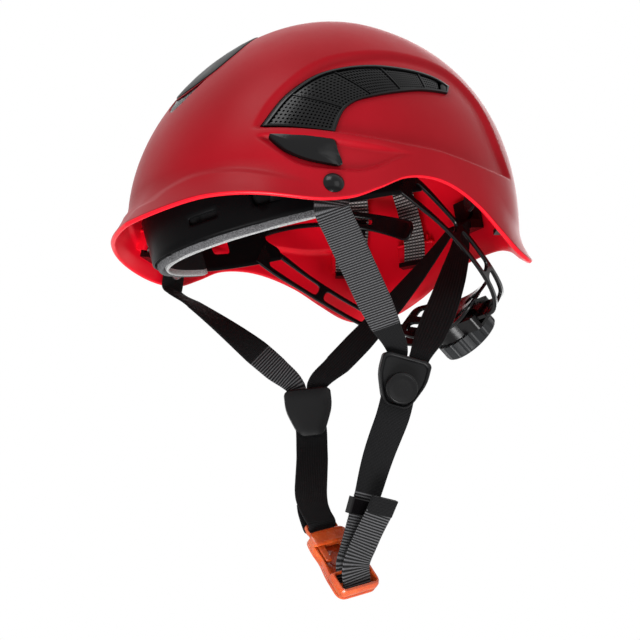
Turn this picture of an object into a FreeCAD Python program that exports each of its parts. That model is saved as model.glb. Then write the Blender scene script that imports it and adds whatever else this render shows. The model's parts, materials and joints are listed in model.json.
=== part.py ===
import FreeCAD, Part
import math
import os

# Climbing helmet: a vented hard shell over a textile cradle, a headband with a
# geared size adjuster at the nape, and a chin strap with side dividers and a
# side-release buckle.  Millimetres, +X the wearer's left, -Y forward, +Z up.
# The origin is the head's reference point: the middle plane at ear level.

Vector = FreeCAD.Vector

# ---------------------------------------------------------------- shell sizes
DOME_WIDTH = 209.0            # across the dome at the brow level
FRONT_REACH = 119.5           # middle of the dome forward to the brow
REAR_REACH = 129.8            # middle of the dome back to the nape
DOME_HEIGHT = 133.2           # brow level up to the crown
BROW_LEVEL = 60.0             # height of the brow level above ear level
SHELL_WALL = 3.0              # moulded wall
BRIM_HEIGHT = 25.0            # height over which the edge flares outwards
VENT_LEDGE = 2.5              # ledge that carries a grille, seen from the side
TRIM_DEPTH = 1.6              # how deep a grille or plate is let into the wall
TRIM_STAND = 0.5              # how far it stands proud
TRIM_GAP = 0.2                # gap all round a let-in piece

# ------------------------------------------------------------- headband sizes
BAND_WIDTH = 158.0            # across the headband
BAND_FRONT = 107.0            # origin forward to the headband
BAND_REAR = 98.0              # origin back to the headband's line
BAND_DEPTH = 32.0             # height of the brow part of the band
BAND_WALL = 1.8               # moulded band
BAND_TILT = 0.34              # rise of the band per millimetre backwards
BAND_LEVEL = 57.0             # lower edge of the band above the origin
PAD_WALL = 4.5                # brow foam
LINING_WALL = 1.6             # brow foam's fabric facing
ARM_DEPTH = 17.0              # height of a rear arm
ARM_SLOT = 6.0                # height of the slot in a rear arm

# -------------------------------------------------------------- webbing sizes
STRAP_WIDTH = 20.0
STRAP_WALL = 1.6
CROWN_STRAP_WIDTH = 22.0
CROWN_STRAP_WALL = 1.4
CROWN_CLEARANCE = 16.0        # shell's inner face down to the crown straps

# ------------------------------------------------------------- adjuster sizes
NAPE = Vector(0.0, 104.0, 19.0)   # middle of the nape cradle's outer face
KNOB_DROP = 38.0              # degrees that the knob's axis points below level
KNOB_DIAMETER = 40.0
KNOB_THICKNESS = 11.0
HOUSING_LENGTH = 58.0
HOUSING_HEIGHT = 24.0
HOUSING_WALL = 1.8
MODULE = 0.8                  # gear teeth
PINION_TEETH = 10
RACK_THICKNESS = 2.4
RACK_TRAVEL = 14.0            # how far each rack is drawn in
TOOTH_SHARE = 0.41            # tooth width as a share of the pitch
RUNNING_GAP = 0.05            # radial clearance of a shaft in its hole
SLIDING_GAP = 0.25            # clearance round a rack or a button

# ----------------------------------------------------------- chin strap sizes
DIVIDER = Vector(49.0, 24.7, -45.8)   # middle of the left divider
DIVIDER_WIDTH = 30.0
DIVIDER_HEIGHT = 31.0
DIVIDER_DEPTH = 9.0
BUTTON_DIAMETER = 19.0
BUTTON_STAND = 5.0
BUTTON_TRAVEL = 1.5
BUCKLE = Vector(4.5, 13.0, -147.5)    # middle of the buckle
BUCKLE_LENGTH = 44.0
STRAP_ROOM = 1.9              # beside the strap inside the buckle
BUCKLE_DEPTH = 9.0
BUCKLE_WALL = 2.6
BUCKLE_WIDTH = STRAP_WIDTH + 2 * STRAP_ROOM + 2 * BUCKLE_WALL

# --------------------------------------------------------------- anchor sizes
RIVET_CAP = 12.0
RIVET_SHANK = 5.0
WASHER_DIAMETER = 11.0
WASHER_WALL = 1.2
CAP_SINK = 0.4                # flat seat of a rivet's cap below the outer face
BOSS_RADIUS = 8.0             # inner seat of a riveted strap or plate
SEAT_DEPTH = SHELL_WALL + 1.8     # outer face in to that seat
STACK_GAP = 0.05              # between riveted layers
ANCHOR_WIDTH = 24.0
ANCHOR_WALL = 2.0
ANCHOR_LUG = 9.0              # how far the rear anchor's lug reaches inwards
SCOOP_LAP = 2.5               # mesh behind the edge of the scoop

# Lower edge of the shell: (share of the reach forward or back, height in mm).
RIM_EDGE = [(-1.20, 33.5), (-1.12, 34.6), (-0.95, 38.6), (-0.55, 36.4),
            (-0.38, 39.6), (-0.24, 47.6), (-0.10, 56.6), (0.06, 60.4),
            (0.20, 59.0), (0.36, 52.6), (0.50, 43.2), (0.63, 35.4),
            (0.755, 34.0), (0.855, 38.8), (0.925, 47.2), (0.98, 58.4),
            (1.03, 67.0), (1.20, 72.0)]
# Outward flare at the edge: (degrees from the front, mm).
RIM_FLARE = [(0.0, 13.9), (18.0, 9.8), (36.0, 7.6), (48.0, 4.8), (60.0, 2.8),
             (90.0, 1.4), (113.0, 0.0), (124.0, 2.0), (133.0, 5.8),
             (142.0, 8.4), (150.0, 6.6), (160.0, 4.2), (180.0, 4.9)]
# Side outlines: (share of the reach, share of the dome's height above brow).
GRILLE_OUTLINE = [(-0.73, 0.17), (-0.43, 0.145), (-0.39, 0.24), (-0.34, 0.30),
                  (-0.22, 0.355), (-0.07, 0.405), (0.12, 0.465), (0.24, 0.49),
                  (0.285, 0.55), (0.20, 0.57), (0.09, 0.575), (-0.04, 0.555),
                  (-0.20, 0.53), (-0.34, 0.495), (-0.46, 0.45),
                  (-0.56, 0.375), (-0.64, 0.30)]
PLATE_OUTLINE = [(-0.715, 0.128), (-0.49, 0.108), (-0.445, 0.10),
                 (-0.415, -0.005), (-0.47, -0.012), (-0.575, 0.008),
                 (-0.655, 0.045)]
# Front outlines: (mm across, share of the dome's height above brow).
BADGE_OUTLINE = [(0.0, 0.858), (14.0, 0.815), (22.5, 0.735), (25.5, 0.655),
                 (21.5, 0.545), (11.0, 0.505), (0.0, 0.49)]
SCOOP_OUTLINE = [(0.0, 0.482), (11.0, 0.497), (20.0, 0.53), (11.0, 0.455),
                 (0.0, 0.385)]
# Suspension keys: (share of the reach, height share), on the side or rear.
KEY_PLACES = [(-0.68, -0.075), (0.64, 0.05), (0.905, 0.09)]
RIVET_PLACE = (-0.463, -0.098)

# parts inside the shell
SIDE_SWEEP = 54.0             # degrees of the skin covered to each side
FRONT_SWEEP = 62.0
REAR_SWEEP = 56.0
SKIN_GRID = 26                # rays each way across the skin
POCKET_WIDTH = 27.0           # raised pocket for a suspension key
POCKET_HEIGHT = 13.0
POCKET_DEPTH = 6.0
KEY_WIDTH = 22.0
KEY_WALL = 2.4
KEY_HEIGHT = 15.0
KEY_REACH = 9.0               # inner end of a key's foot
KEY_FOOT = 1.2                # pocket's mouth down to the foot
SOFT_GAP = 0.3                # round a soft piece
CROSSING_GAP = 1.9            # between crossing crown straps
CROWN_RAMP = 9.0              # how soon a crown strap leaves the shell
LEAN_STEPS = 4.0              # sections over which it turns from its key
HANGER_WIDTH = 12.0           # links from the keys to the headband
HANGER_WALL = 1.8
HANGER_BEND = 3.0
HANGER_RISE = 0.35            # share of the band's height where they meet it
UPPER_ARM_DEPTH = 15.0

# size adjuster
PITCH_RADIUS = MODULE * PINION_TEETH / 2.0
ADDENDUM = 0.8 * MODULE
DEDENDUM = 1.1 * MODULE
LAYER_GAP = 0.3
HOUSING_FLOOR = 1.6
LEFT_LAYER = HOUSING_FLOOR + LAYER_GAP
RIGHT_LAYER = LEFT_LAYER + RACK_THICKNESS + LAYER_GAP
LAYERS_TOP = RIGHT_LAYER + RACK_THICKNESS
HOUSING_ROOF = LAYERS_TOP + 0.4
HOUSING_TOP = HOUSING_ROOF + HOUSING_WALL
HOUSING_RING = 17.5           # round middle of the housing
RACK_REACH = HOUSING_LENGTH / 2.0 + 8.0
FOOT_RADIUS = 2.5             # pinion's lower journal
NECK_RADIUS = 4.7             # pinion's upper journal
NECK_STAND = 5.0
SCREW_RADIUS = 1.5
HUB_RADIUS = 8.0
KNOB_BASE = HOUSING_TOP + 0.4
KNOB_RIM = 3.0
KNOB_RIBS = 16
KNOB_ROOF = 2.0
HEAD_SINK = 2.2               # screw head below the knob's face
CRADLE_RADIUS = 85.0
CRADLE_SWEEP = 27.0           # degrees to each side
CRADLE_DEPTH = 36.0
CRADLE_WALL = 2.2

# chin strap fittings
CAVITY = 2 * STRAP_WALL + 1.2     # strap space inside a divider
HALF_END = 12.0               # width of a strap's end inside a divider
STRAP_SHIFT = 7.0             # of each strap end from the divider's middle
RECESS = 1.8                  # depth of the recess round a divider's button
BUTTON_OFFSET = 4.0
BAR_RADIUS = 2.0              # bar of the buckle
BAR_PLACE = BUCKLE_LENGTH / 2.0 - 7.5
BAR_HEIGHT = -1.8
BAR_RISE = 12.0               # straight run of the strap off the bar
STRAIGHT_FROM = 6.0           # turn from there into the strap's main run
BUCKLE_FLOOR = 2.0
BUCKLE_BUTTON_PLACE = -4.0
BUCKLE_BUTTON = 11.0
TONGUE_WIDTH = STRAP_WIDTH + 2.0
TONGUE_WALL = 3.0
TONGUE_BAR = 3.0
TONGUE_STAND = 5.0
TONGUE_REACH = 20.0
LOOP_REACH = BAR_RADIUS + SOFT_GAP + STRAP_WALL / 2.0
JOINT_GAP = 0.4               # half of the gap where two lengths of strap meet
TAIL_GAP = 0.95               # where the sewn end meets the tail, at a slight bend
SPLIT_SHARE = 0.46            # height of the joint between the lower straps
KEEPER_SHARE = 0.36
TAIL_SHARE = 0.36
TAIL_FLARE = 4.5              # how far the tail's end leans out
TAIL_SHIFT = 3.0              # and backwards
TAIL_LENGTH = 9.0

OUT = "parts"
# ------------------------------------------------------------ small geometry
def unit(vector):
    length = vector.Length
    return Vector(vector.x / length, vector.y / length, vector.z / length)


def square_to(vector, axis):
    """The part of a vector that is square to a unit axis, made unit."""
    return unit(vector - axis * vector.dot(axis))


def frame_at(origin, along, across):
    """A placement whose local X is along, and whose local Y leans to across."""
    x_axis = unit(along)
    y_axis = square_to(across, x_axis)
    z_axis = x_axis.cross(y_axis)
    matrix = FreeCAD.Matrix(x_axis.x, y_axis.x, z_axis.x, origin.x,
                            x_axis.y, y_axis.y, z_axis.y, origin.y,
                            x_axis.z, y_axis.z, z_axis.z, origin.z,
                            0, 0, 0, 1)
    return FreeCAD.Placement(matrix)


def placed(shape, placement):
    copy = shape.copy()
    copy.Placement = placement.multiply(copy.Placement)
    return copy


def box(low, high):
    size = Vector(*high) - Vector(*low)
    return Part.makeBox(size.x, size.y, size.z, Vector(*low))


def cylinder(radius, base, axis, length):
    return Part.makeCylinder(radius, length, base, axis)


def mirrored(shape):
    return shape.mirror(Vector(0, 0, 0), Vector(1, 0, 0))


def extruded(points, vector):
    wire = Part.makePolygon(points + [points[0]])
    return Part.Face(wire).extrude(vector)


def lookup(table, value):
    """Smooth curve through a table of (position, value)."""
    if value <= table[0][0]:
        return table[0][1]
    if value >= table[-1][0]:
        return table[-1][1]
    last = len(table) - 1
    i = 0
    while table[i + 1][0] < value:
        i += 1

    def slope(k):
        low = max(k - 1, 0)
        high = min(k + 1, last)
        return (table[high][1] - table[low][1]) / (table[high][0] - table[low][0])

    span = table[i + 1][0] - table[i][0]
    t = (value - table[i][0]) / span
    a = table[i][1]
    b = table[i + 1][1]
    rise = a * (2 * t ** 3 - 3 * t ** 2 + 1) + b * (3 * t ** 2 - 2 * t ** 3)
    lean = slope(i) * (t ** 3 - 2 * t ** 2 + t) + slope(i + 1) * (t ** 3 - t ** 2)
    return rise + lean * span


# -------------------------------------------------------------- dome formula
def station(share):
    """Y of a share of the reach, forward when negative."""
    if share < 0:
        return share * FRONT_REACH
    return share * REAR_REACH


def level(share):
    return BROW_LEVEL + share * DOME_HEIGHT


def share_of(y):
    if y < 0:
        return y / FRONT_REACH
    return y / REAR_REACH


def beyond_dome(point):
    """How far a point lies outside the shell's outer face, along its level."""
    rise = min(max((point.z - BROW_LEVEL) / DOME_HEIGHT, 0.0), 1.0)
    middle = 1.8 * rise + 12.7 * rise ** 2 - 1.4
    dx = abs(point.x)
    dy = point.y - middle
    angle = math.atan2(dx, -dy)
    front = max(math.cos(angle), 0.0) ** 2
    rear = max(-math.cos(angle), 0.0) ** 2
    side = 1.0 - front - rear
    reach = FRONT_REACH if dy < 0 else REAR_REACH
    power = 2.1 if dy < 0 else 2.3
    across = abs(math.sin(angle)) / (DOME_WIDTH / 2.0)
    along = abs(math.cos(angle)) / reach
    radius = (across ** power + along ** power) ** (-1.0 / power)
    shoulder = 1.76 * front + 2.36 * side + 2.08 * rear
    fullness = 2.04 * front + 1.965 * side + 1.944 * rear
    radius *= (1.0 - rise ** shoulder) ** (1.0 / fullness)
    edge = lookup(RIM_EDGE, share_of(point.y))
    drop = (edge + BRIM_HEIGHT - point.z) / BRIM_HEIGHT
    if drop > 0:
        growth = drop ** 1.8 if drop < 1 else 1.0 + 1.8 * (drop - 1.0)
        radius += lookup(RIM_FLARE, math.degrees(angle)) * growth
    return math.hypot(dx, dy) - radius


def outward(point):
    """Outward normal of the shell at a point on its outer face."""
    h = 0.25
    steps = [Vector(h, 0, 0), Vector(0, h, 0), Vector(0, 0, h)]
    slope = [beyond_dome(point + s) - beyond_dome(point - s) for s in steps]
    return unit(Vector(*slope))


def dome_hit(start, direction, far=320.0):
    """Where a line from inside the dome leaves it."""
    near = 0.0
    for _ in range(34):
        middle = (near + far) / 2.0
        if beyond_dome(start + direction * middle) < 0:
            near = middle
        else:
            far = middle
    return start + direction * near


def side_point(share_y, share_z):
    """A point on the left side of the shell, found along X."""
    start = Vector(0.0, station(share_y), level(share_z))
    return dome_hit(start, Vector(1, 0, 0))


# ---------------------------------------------------------------- shell skins
HUB = Vector(0, 0, -50.0)     # every ray to the shell starts here


def skin_surface(offset):
    """One smooth sheet parallel to the shell's outer face."""
    grid = []
    for i in range(SKIN_GRID + 1):
        a = math.radians(-SIDE_SWEEP + 2.0 * SIDE_SWEEP * i / SKIN_GRID)
        row = []
        for j in range(SKIN_GRID + 1):
            turn = -FRONT_SWEEP + (FRONT_SWEEP + REAR_SWEEP) * j / SKIN_GRID
            b = math.radians(turn)
            ray = unit(Vector(math.tan(a), math.tan(b), 1.0))
            hit = dome_hit(HUB, ray)
            row.append(hit + outward(hit) * offset)
        grid.append(row)
    surface = Part.BSplineSurface()
    surface.interpolate(grid)
    return surface.toShape()


def skin(inner, outer):
    """A closed solid between two sheets parallel to the shell's outer face."""
    low = skin_surface(inner)
    high = skin_surface(outer)
    walls = [Part.makeRuledSurface(a, b) for a, b in zip(low.Edges, high.Edges)]
    shell = Part.makeShell([low, high] + walls)
    shell.sewShape()
    solid = Part.makeSolid(Part.Shell(shell.Faces))
    if solid.Volume < 0:
        solid.reverse()
    return solid


def rim_block():
    """Everything above the shell's wavy lower edge."""
    edge = [Vector(0, station(share), z) for share, z in RIM_EDGE]
    curve = Part.BSplineCurve()
    curve.interpolate(edge)
    top = 400.0
    corners = [edge[-1], Vector(0, edge[-1].y, top),
               Vector(0, edge[0].y, top), edge[0]]
    wire = Part.Wire([curve.toShape()] + Part.makePolygon(corners).Edges)
    half = DOME_WIDTH
    block = Part.Face(wire).extrude(Vector(2 * half, 0, 0))
    block.translate(Vector(-half, 0, 0))
    return block


def grown(outline, amount):
    """An outline moved outwards by a distance."""
    wire = Part.makePolygon(outline + [outline[0]])
    face = Part.Face(wire)
    return face.makeOffset2D(amount, 2).OuterWire


def side_prism(outline, amount):
    """A side outline, grown, as a prism that starts inside the left side."""
    points = [Vector(0, station(y), level(z)) for y, z in outline]
    wire = grown(points, amount) if amount else Part.makePolygon(points + [points[0]])
    prism = Part.Face(wire).extrude(Vector(DOME_WIDTH, 0, 0))
    prism.translate(Vector(DOME_WIDTH * 0.2, 0, 0))
    return prism


def front_prism(outline, amount):
    """A front outline given for its left half, as a prism along Y."""
    half = [Vector(x, 0, level(z)) for x, z in outline]
    other = [Vector(-p.x, 0, p.z) for p in reversed(half[1:-1])]
    wire = grown(half + other, amount) if amount else Part.makePolygon(
        half + other + [half[0]])
    prism = Part.Face(wire).extrude(Vector(0, -2 * FRONT_REACH, 0))
    return prism


# -------------------------------------------------------------- webbing bands
def ribbon(route, width, wall):
    """A flat band through (point, width direction) pairs."""
    wires = []
    for i, (point, lean) in enumerate(route):
        before = route[max(i - 1, 0)][0]
        after = route[min(i + 1, len(route) - 1)][0]
        run = unit(after - before)
        across = square_to(lean, run) * (width / 2.0)
        through = unit(run.cross(across)) * (wall / 2.0)
        ring = [point + across + through, point - across + through,
                point - across - through, point + across - through]
        wires.append(Part.makePolygon(ring + [ring[0]]))
    return Part.makeLoft(wires, True, True)


def bezier(points, count):
    """Points spread along a smooth curve that starts and ends on the list."""
    result = []
    for i in range(count):
        t = i / (count - 1.0)
        level_points = list(points)
        while len(level_points) > 1:
            level_points = [a * (1 - t) + b * t
                            for a, b in zip(level_points, level_points[1:])]
        result.append(level_points[0])
    return result


def blended(first, last, count):
    """Directions that turn evenly from the first to the last."""
    return [first * (1 - i / (count - 1.0)) + last * (i / (count - 1.0))
            for i in range(count)]


# ------------------------------------------------------------------ the shell
def key_frame(number):
    """Place and facing of a suspension key: X inwards, Z up the wall."""
    share_y, share_z = KEY_PLACES[number]
    hit = side_point(share_y, share_z)
    normal = outward(hit)
    inner = hit - normal * SHELL_WALL
    level_run = unit(Vector(normal.y, -normal.x, 0))
    return frame_at(inner, normal * -1, level_run), inner, normal


def pocket(number):
    """Raised pocket on the inside of the wall that takes a suspension key."""
    place = key_frame(number)[0]
    half = POCKET_WIDTH / 2.0
    block = box((-SHELL_WALL * 0.6, -half, 0), (POCKET_DEPTH, half, POCKET_HEIGHT))
    half = KEY_WIDTH / 2.0 + TRIM_GAP
    low = (POCKET_DEPTH - KEY_WALL) / 2.0 - TRIM_GAP + 0.5
    hollow = box((low, -half, -1), (low + KEY_WALL + 2 * TRIM_GAP, half, POCKET_HEIGHT - 2))
    return placed(block.cut(hollow), place)


def suspension_key(number):
    """Flat key in its pocket, with the bar that the crown strap loops round."""
    place = key_frame(number)[0]
    half = KEY_WIDTH / 2.0
    low = (POCKET_DEPTH - KEY_WALL) / 2.0 + 0.5
    top = POCKET_HEIGHT - 2 - TRIM_GAP
    blade = box((low, -half, top - KEY_HEIGHT), (low + KEY_WALL, half, top))
    foot = box((low, -half, top - KEY_HEIGHT), (KEY_REACH, half, -KEY_FOOT))
    return placed(blade.fuse(foot), place)


def make_shell(wall_skin, deep_skin):
    shell = wall_skin.common(rim_block())
    tools = []
    for outline in (GRILLE_OUTLINE, PLATE_OUTLINE):
        recess = side_prism(outline, TRIM_GAP).common(deep_skin)
        tools += [recess, mirrored(recess)]
    opening = side_prism(GRILLE_OUTLINE, -VENT_LEDGE)
    tools += [opening, mirrored(opening)]
    tools.append(front_prism(BADGE_OUTLINE, TRIM_GAP).common(deep_skin))
    tools.append(front_prism(SCOOP_OUTLINE, 0))
    shell = shell.cut(tools)
    solids = sorted(shell.Solids, key=lambda s: s.Volume)
    shell = solids[-1]
    bosses = []
    for number in range(len(KEY_PLACES)):
        raised = pocket(number)
        bosses += [raised, mirrored(raised)]
    hit, normal = rivet_frame()
    strap_boss = boss(hit, normal)
    bosses += [strap_boss, mirrored(strap_boss), boss(*rear_anchor_point())]
    return shell.fuse(bosses).cut(rivet_holes()).Solids[0]


def boss(hit, normal):
    """Flat seat on the inside of the wall for a riveted strap or plate."""
    base = hit - normal * SEAT_DEPTH
    return cylinder(BOSS_RADIUS, base, normal, SEAT_DEPTH - SHELL_WALL / 2.0)


def rivet_frame():
    hit = side_point(*RIVET_PLACE)
    return hit, outward(hit)


def rear_anchor_point():
    """Where the rear strap anchor is riveted to the inside of the shell."""
    hit = dome_hit(Vector(0, 0, level(0.27)), Vector(0, 1, 0))
    return hit, outward(hit)


def rivet_holes():
    hit, normal = rivet_frame()
    radius = RIVET_SHANK / 2.0 + RUNNING_GAP
    hole = cylinder(radius, hit - normal * 12, normal, 24)
    seat = cylinder(RIVET_CAP / 2.0 + TRIM_GAP, hit - normal * CAP_SINK, normal, 8)
    tools = [hole, seat, mirrored(hole), mirrored(seat)]
    hit, normal = rear_anchor_point()
    tools.append(cylinder(radius, hit - normal * 12, normal, 24))
    tools.append(cylinder(RIVET_CAP / 2.0 + TRIM_GAP, hit - normal * CAP_SINK, normal, 8))
    return tools


def make_grille(trim_skin):
    """Perforated black grille that fills a side vent."""
    body = trim_skin.common(side_prism(GRILLE_OUTLINE, 0))
    body = body.Solids[0]
    holes = []
    pitch = 7.0
    inside = Part.Face(grown([Vector(0, station(y), level(z))
                              for y, z in GRILLE_OUTLINE], -VENT_LEDGE - 1.5))
    bounds = inside.BoundBox
    rows = int(bounds.ZLength / pitch) + 1
    columns = int(bounds.YLength / pitch) + 1
    for row in range(rows):
        for column in range(columns):
            shift = pitch / 2.0 if row % 2 else 0.0
            y = bounds.YMin + column * pitch + shift
            z = bounds.ZMin + row * pitch
            if inside.isInside(Vector(0, y, z), 0.01, True):
                start = Vector(DOME_WIDTH * 0.2, y, z)
                holes.append(cylinder(1.6, start, Vector(1, 0, 0), DOME_WIDTH))
    return body.cut(holes)


def make_side_plate(trim_skin):
    """Blank black plate under the grille."""
    return trim_skin.common(side_prism(PLATE_OUTLINE, 0)).Solids[0]


def make_badge(trim_skin):
    """Blank badge that shades the front scoop."""
    return trim_skin.common(front_prism(BADGE_OUTLINE, 0)).Solids[0]


def make_scoop_mesh(mesh_skin):
    """Perforated screen behind the front scoop."""
    body = mesh_skin.common(front_prism(SCOOP_OUTLINE, SCOOP_LAP)).Solids[0]
    holes = []
    for row in range(4):
        for column in range(-5, 6):
            x = column * 4.0 + (row % 2) * 2.0
            z = level(0.42) + row * 4.0
            start = Vector(x, 0, z)
            holes.append(cylinder(1.0, start, Vector(0, -1, 0), 2 * FRONT_REACH))
    cut = body.cut(holes)
    return max(cut.Solids, key=lambda s: s.Volume)


# ------------------------------------------------------- shell-mounted pieces
def make_rivet():
    """Domed strap rivet: cap outside the wall, shank through it."""
    hit, normal = rivet_frame()
    radius = RIVET_CAP / 2.0
    seat = hit - normal * CAP_SINK
    ball = 1.35 * radius
    sink = math.sqrt(ball ** 2 - radius ** 2) - 0.8
    cap = Part.makeSphere(ball, seat - normal * sink)
    cap = cap.common(cylinder(radius, seat, normal, radius))
    grip = SEAT_DEPTH - CAP_SINK + STRAP_WALL + WASHER_WALL + 3 * STACK_GAP
    shank = cylinder(RIVET_SHANK / 2.0, seat - normal * grip, normal, grip)
    return cap.fuse(shank)


def make_washer():
    """Washer that clamps the strap end to the inside of the wall."""
    hit, normal = rivet_frame()
    depth = SEAT_DEPTH + STRAP_WALL + 2 * STACK_GAP
    base = hit - normal * (depth + WASHER_WALL)
    ring = cylinder(WASHER_DIAMETER / 2.0, base, normal, WASHER_WALL)
    return ring.cut(cylinder(RIVET_SHANK / 2.0 + RUNNING_GAP, base, normal, WASHER_WALL))


def make_rear_rivet():
    hit, normal = rear_anchor_point()
    seat = hit - normal * CAP_SINK
    cap = cylinder(RIVET_CAP / 2.0, seat, normal, 2.0)
    grip = SEAT_DEPTH - CAP_SINK + ANCHOR_WALL + 2 * STACK_GAP
    shank = cylinder(RIVET_SHANK / 2.0, seat - normal * grip, normal, grip)
    tail = cylinder(RIVET_CAP / 2.6, seat - normal * (grip + 1.4), normal, 1.4)
    return cap.fuse([shank, tail])


def make_rear_anchor():
    """Plate riveted inside the nape that gathers both rear straps."""
    hit, normal = rear_anchor_point()
    inner = hit - normal * (SEAT_DEPTH + STACK_GAP)
    place = frame_at(inner, Vector(1, 0, 0), square_to(Vector(0, 0, -1), normal))
    half = ANCHOR_WIDTH / 2.0
    side = 1.0 if place.multVec(Vector(0, 0, 1)).y < inner.y else -1.0
    low, high = sorted((0.0, side * ANCHOR_WALL))
    plate = box((-half, -9, low), (half, 14, high))
    lug_low, lug_high = sorted((side * ANCHOR_WALL, side * (ANCHOR_WALL + ANCHOR_LUG)))
    lug = box((-half, 8, lug_low), (half, 14, lug_high))
    hole = cylinder(RIVET_SHANK / 2.0 + RUNNING_GAP, Vector(0, 0, -20), Vector(0, 0, 1), 40)
    return placed(plate.fuse(lug).cut(hole), place), place, side


# ------------------------------------------------------------- crown webbing
def key_point(number, side, depth, height):
    """A point on the middle line of a key, by its depth and height."""
    point = key_frame(number)[0].multVec(Vector(depth, 0, height))
    return Vector(point.x * side, point.y, point.z)


def key_lean(number, side):
    """Level direction along a key."""
    place = key_frame(number)[0]
    along = place.multVec(Vector(0, 1, 0)) - place.multVec(Vector(0, 0, 0))
    return Vector(along.x * side, along.y, 0)


def key_end(number, side):
    """Lower end of a crown strap: it rises flat past its key and pocket."""
    depth = POCKET_DEPTH + SOFT_GAP + CROWN_STRAP_WALL / 2.0
    lean = key_lean(number, side)
    low = key_point(number, side, depth, SOFT_GAP - KEY_FOOT)
    high = key_point(number, side, depth, POCKET_HEIGHT + 2)
    return [(low, lean), (high, lean)]


def crown_route(first, last, layer, reach=1.0, count=25):
    """Band that follows the inside of the dome from one key to another."""
    hub = Vector(0, 5, BROW_LEVEL - 10)
    start, start_lean = first[1]
    end, end_lean = last[1]
    a = start - hub
    b = end - hub
    points = []
    for i in range(count):
        s = reach * i / (count - 1.0)
        rise = Vector(0, 0, 430.0 * s * (1 - s))
        hit = dome_hit(hub, unit(a * (1 - s) + b * s + rise))
        settle = min(1.0, CROWN_RAMP * s * (1 - s))
        near = (hit - (start if s < 0.5 else end)).Length if i in (0, count - 1) else 0
        near = max(near, SHELL_WALL + POCKET_DEPTH + CROWN_STRAP_WALL)
        gap = SHELL_WALL + CROWN_CLEARANCE + layer
        points.append(hit - outward(hit) * (near * (1 - settle) + gap * settle))
    route = [first[0], first[1]]
    for i in range(1, count - 1 if reach == 1.0 else count):
        run = unit(points[min(i + 1, count - 1)] - points[i - 1])
        across = run.cross(unit(points[i] - hub))
        if across.dot(start_lean) < 0:
            across = across * -1
        share = min(1.0, i / LEAN_STEPS)
        route.append((points[i], start_lean * (1 - share) + across * share))
    if reach < 1.0:
        return route
    if end_lean.dot(route[-1][1]) < 0:
        end_lean = end_lean * -1
    for back in range(1, int(LEAN_STEPS) + 1):
        point, lean = route[-back]
        share = back / (LEAN_STEPS + 1.0)
        route[-back] = (point, end_lean * (1 - share) + lean * share)
    return route + [(end, end_lean), (last[0][0], end_lean)]


def make_crown_straps():
    width = CROWN_STRAP_WIDTH
    step = CROWN_STRAP_WALL + CROSSING_GAP
    first = crown_route(key_end(0, 1), key_end(1, -1), 0.0)
    second = crown_route(key_end(0, -1), key_end(1, 1), step)
    far = Vector(22, -FRONT_REACH / 2.0, level(0.7))
    rear = crown_route(key_end(2, 1), [(far, Vector(1, 0, 0))] * 2, -step, 0.5, 15)
    rear_left = ribbon(rear, width * 0.7, CROWN_STRAP_WALL)
    return {"crown_strap_left": ribbon(first, width, CROWN_STRAP_WALL),
            "crown_strap_right": ribbon(second, width, CROWN_STRAP_WALL),
            "rear_crown_strap_left": rear_left,
            "rear_crown_strap_right": mirrored(rear_left)}


# ------------------------------------------------------------------- headband
BAND_UP = unit(Vector(0, -BAND_TILT, 1))


def band_point(degrees, inset, rise):
    """A point on the headband's line, set in and raised from its lower edge."""
    angle = math.radians(degrees)
    reach = BAND_FRONT if abs(degrees) <= 90 else BAND_REAR
    x = (BAND_WIDTH / 2.0 - inset) * math.sin(angle)
    y = -(reach - inset) * math.cos(angle)
    return Vector(x, y, BAND_LEVEL + BAND_TILT * y) + BAND_UP * rise


def band_arc(start, stop, inset, rise, width, wall, steps):
    route = []
    for i in range(steps + 1):
        turn = start + (stop - start) * i / float(steps)
        route.append((band_point(turn, inset, rise), BAND_UP))
    return ribbon(route, width, wall)


def make_headband():
    """Front half of the headband with its windows."""
    half = BAND_DEPTH / 2.0
    band = band_arc(-101, 101, 0, half, BAND_DEPTH, BAND_WALL, 40)
    holes = []
    for turn in (48, 78):
        centre = band_point(turn, 0, half)
        ahead = unit(band_point(turn + 2, 0, half) - centre)
        place = frame_at(centre, ahead, BAND_UP)
        window = placed(box((-9, -5.5, -8), (9, 5.5, 8)), place)
        holes += [window, mirrored(window)]
    return band.cut(holes)


def make_brow_pad():
    """Foam brow pad and its fabric facing, inside the front of the band."""
    rise = BAND_DEPTH / 2.0
    inset = BAND_WALL / 2.0 + PAD_WALL / 2.0 + SOFT_GAP
    foam = band_arc(-66, 66, inset, rise, BAND_DEPTH - 3, PAD_WALL, 30)
    inset += PAD_WALL / 2.0 + LINING_WALL / 2.0 + SOFT_GAP
    lining = band_arc(-64, 64, inset, rise, BAND_DEPTH - 6, LINING_WALL, 30)
    return foam, lining


def route_with(points, first, last, count):
    leans = blended(first, last, count)
    return list(zip(bezier(points, count), leans))


def slot_cut(arm, points, first, last, spans, height, wall):
    """Cut long slots through an arm, each a share of its length."""
    tools = []
    count = 41
    full = route_with(points, first, last, count)
    for low, high in spans:
        part = full[int(low * (count - 1)):int(high * (count - 1)) + 1]
        tools.append(ribbon(part, height, wall * 4))
    return arm.cut(tools)


def upper_arm_points():
    start = band_point(96, 0, BAND_DEPTH - UPPER_ARM_DEPTH / 2.0)
    wide = BAND_WIDTH / 2.0
    end = Vector(wide * 0.36, BAND_REAR * 0.96, BAND_LEVEL + 27)
    return [start, Vector(wide * 1.04, BAND_REAR * 0.46, start.z + 24),
            Vector(wide * 0.80, BAND_REAR * 0.94, start.z + 18), end]


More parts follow.
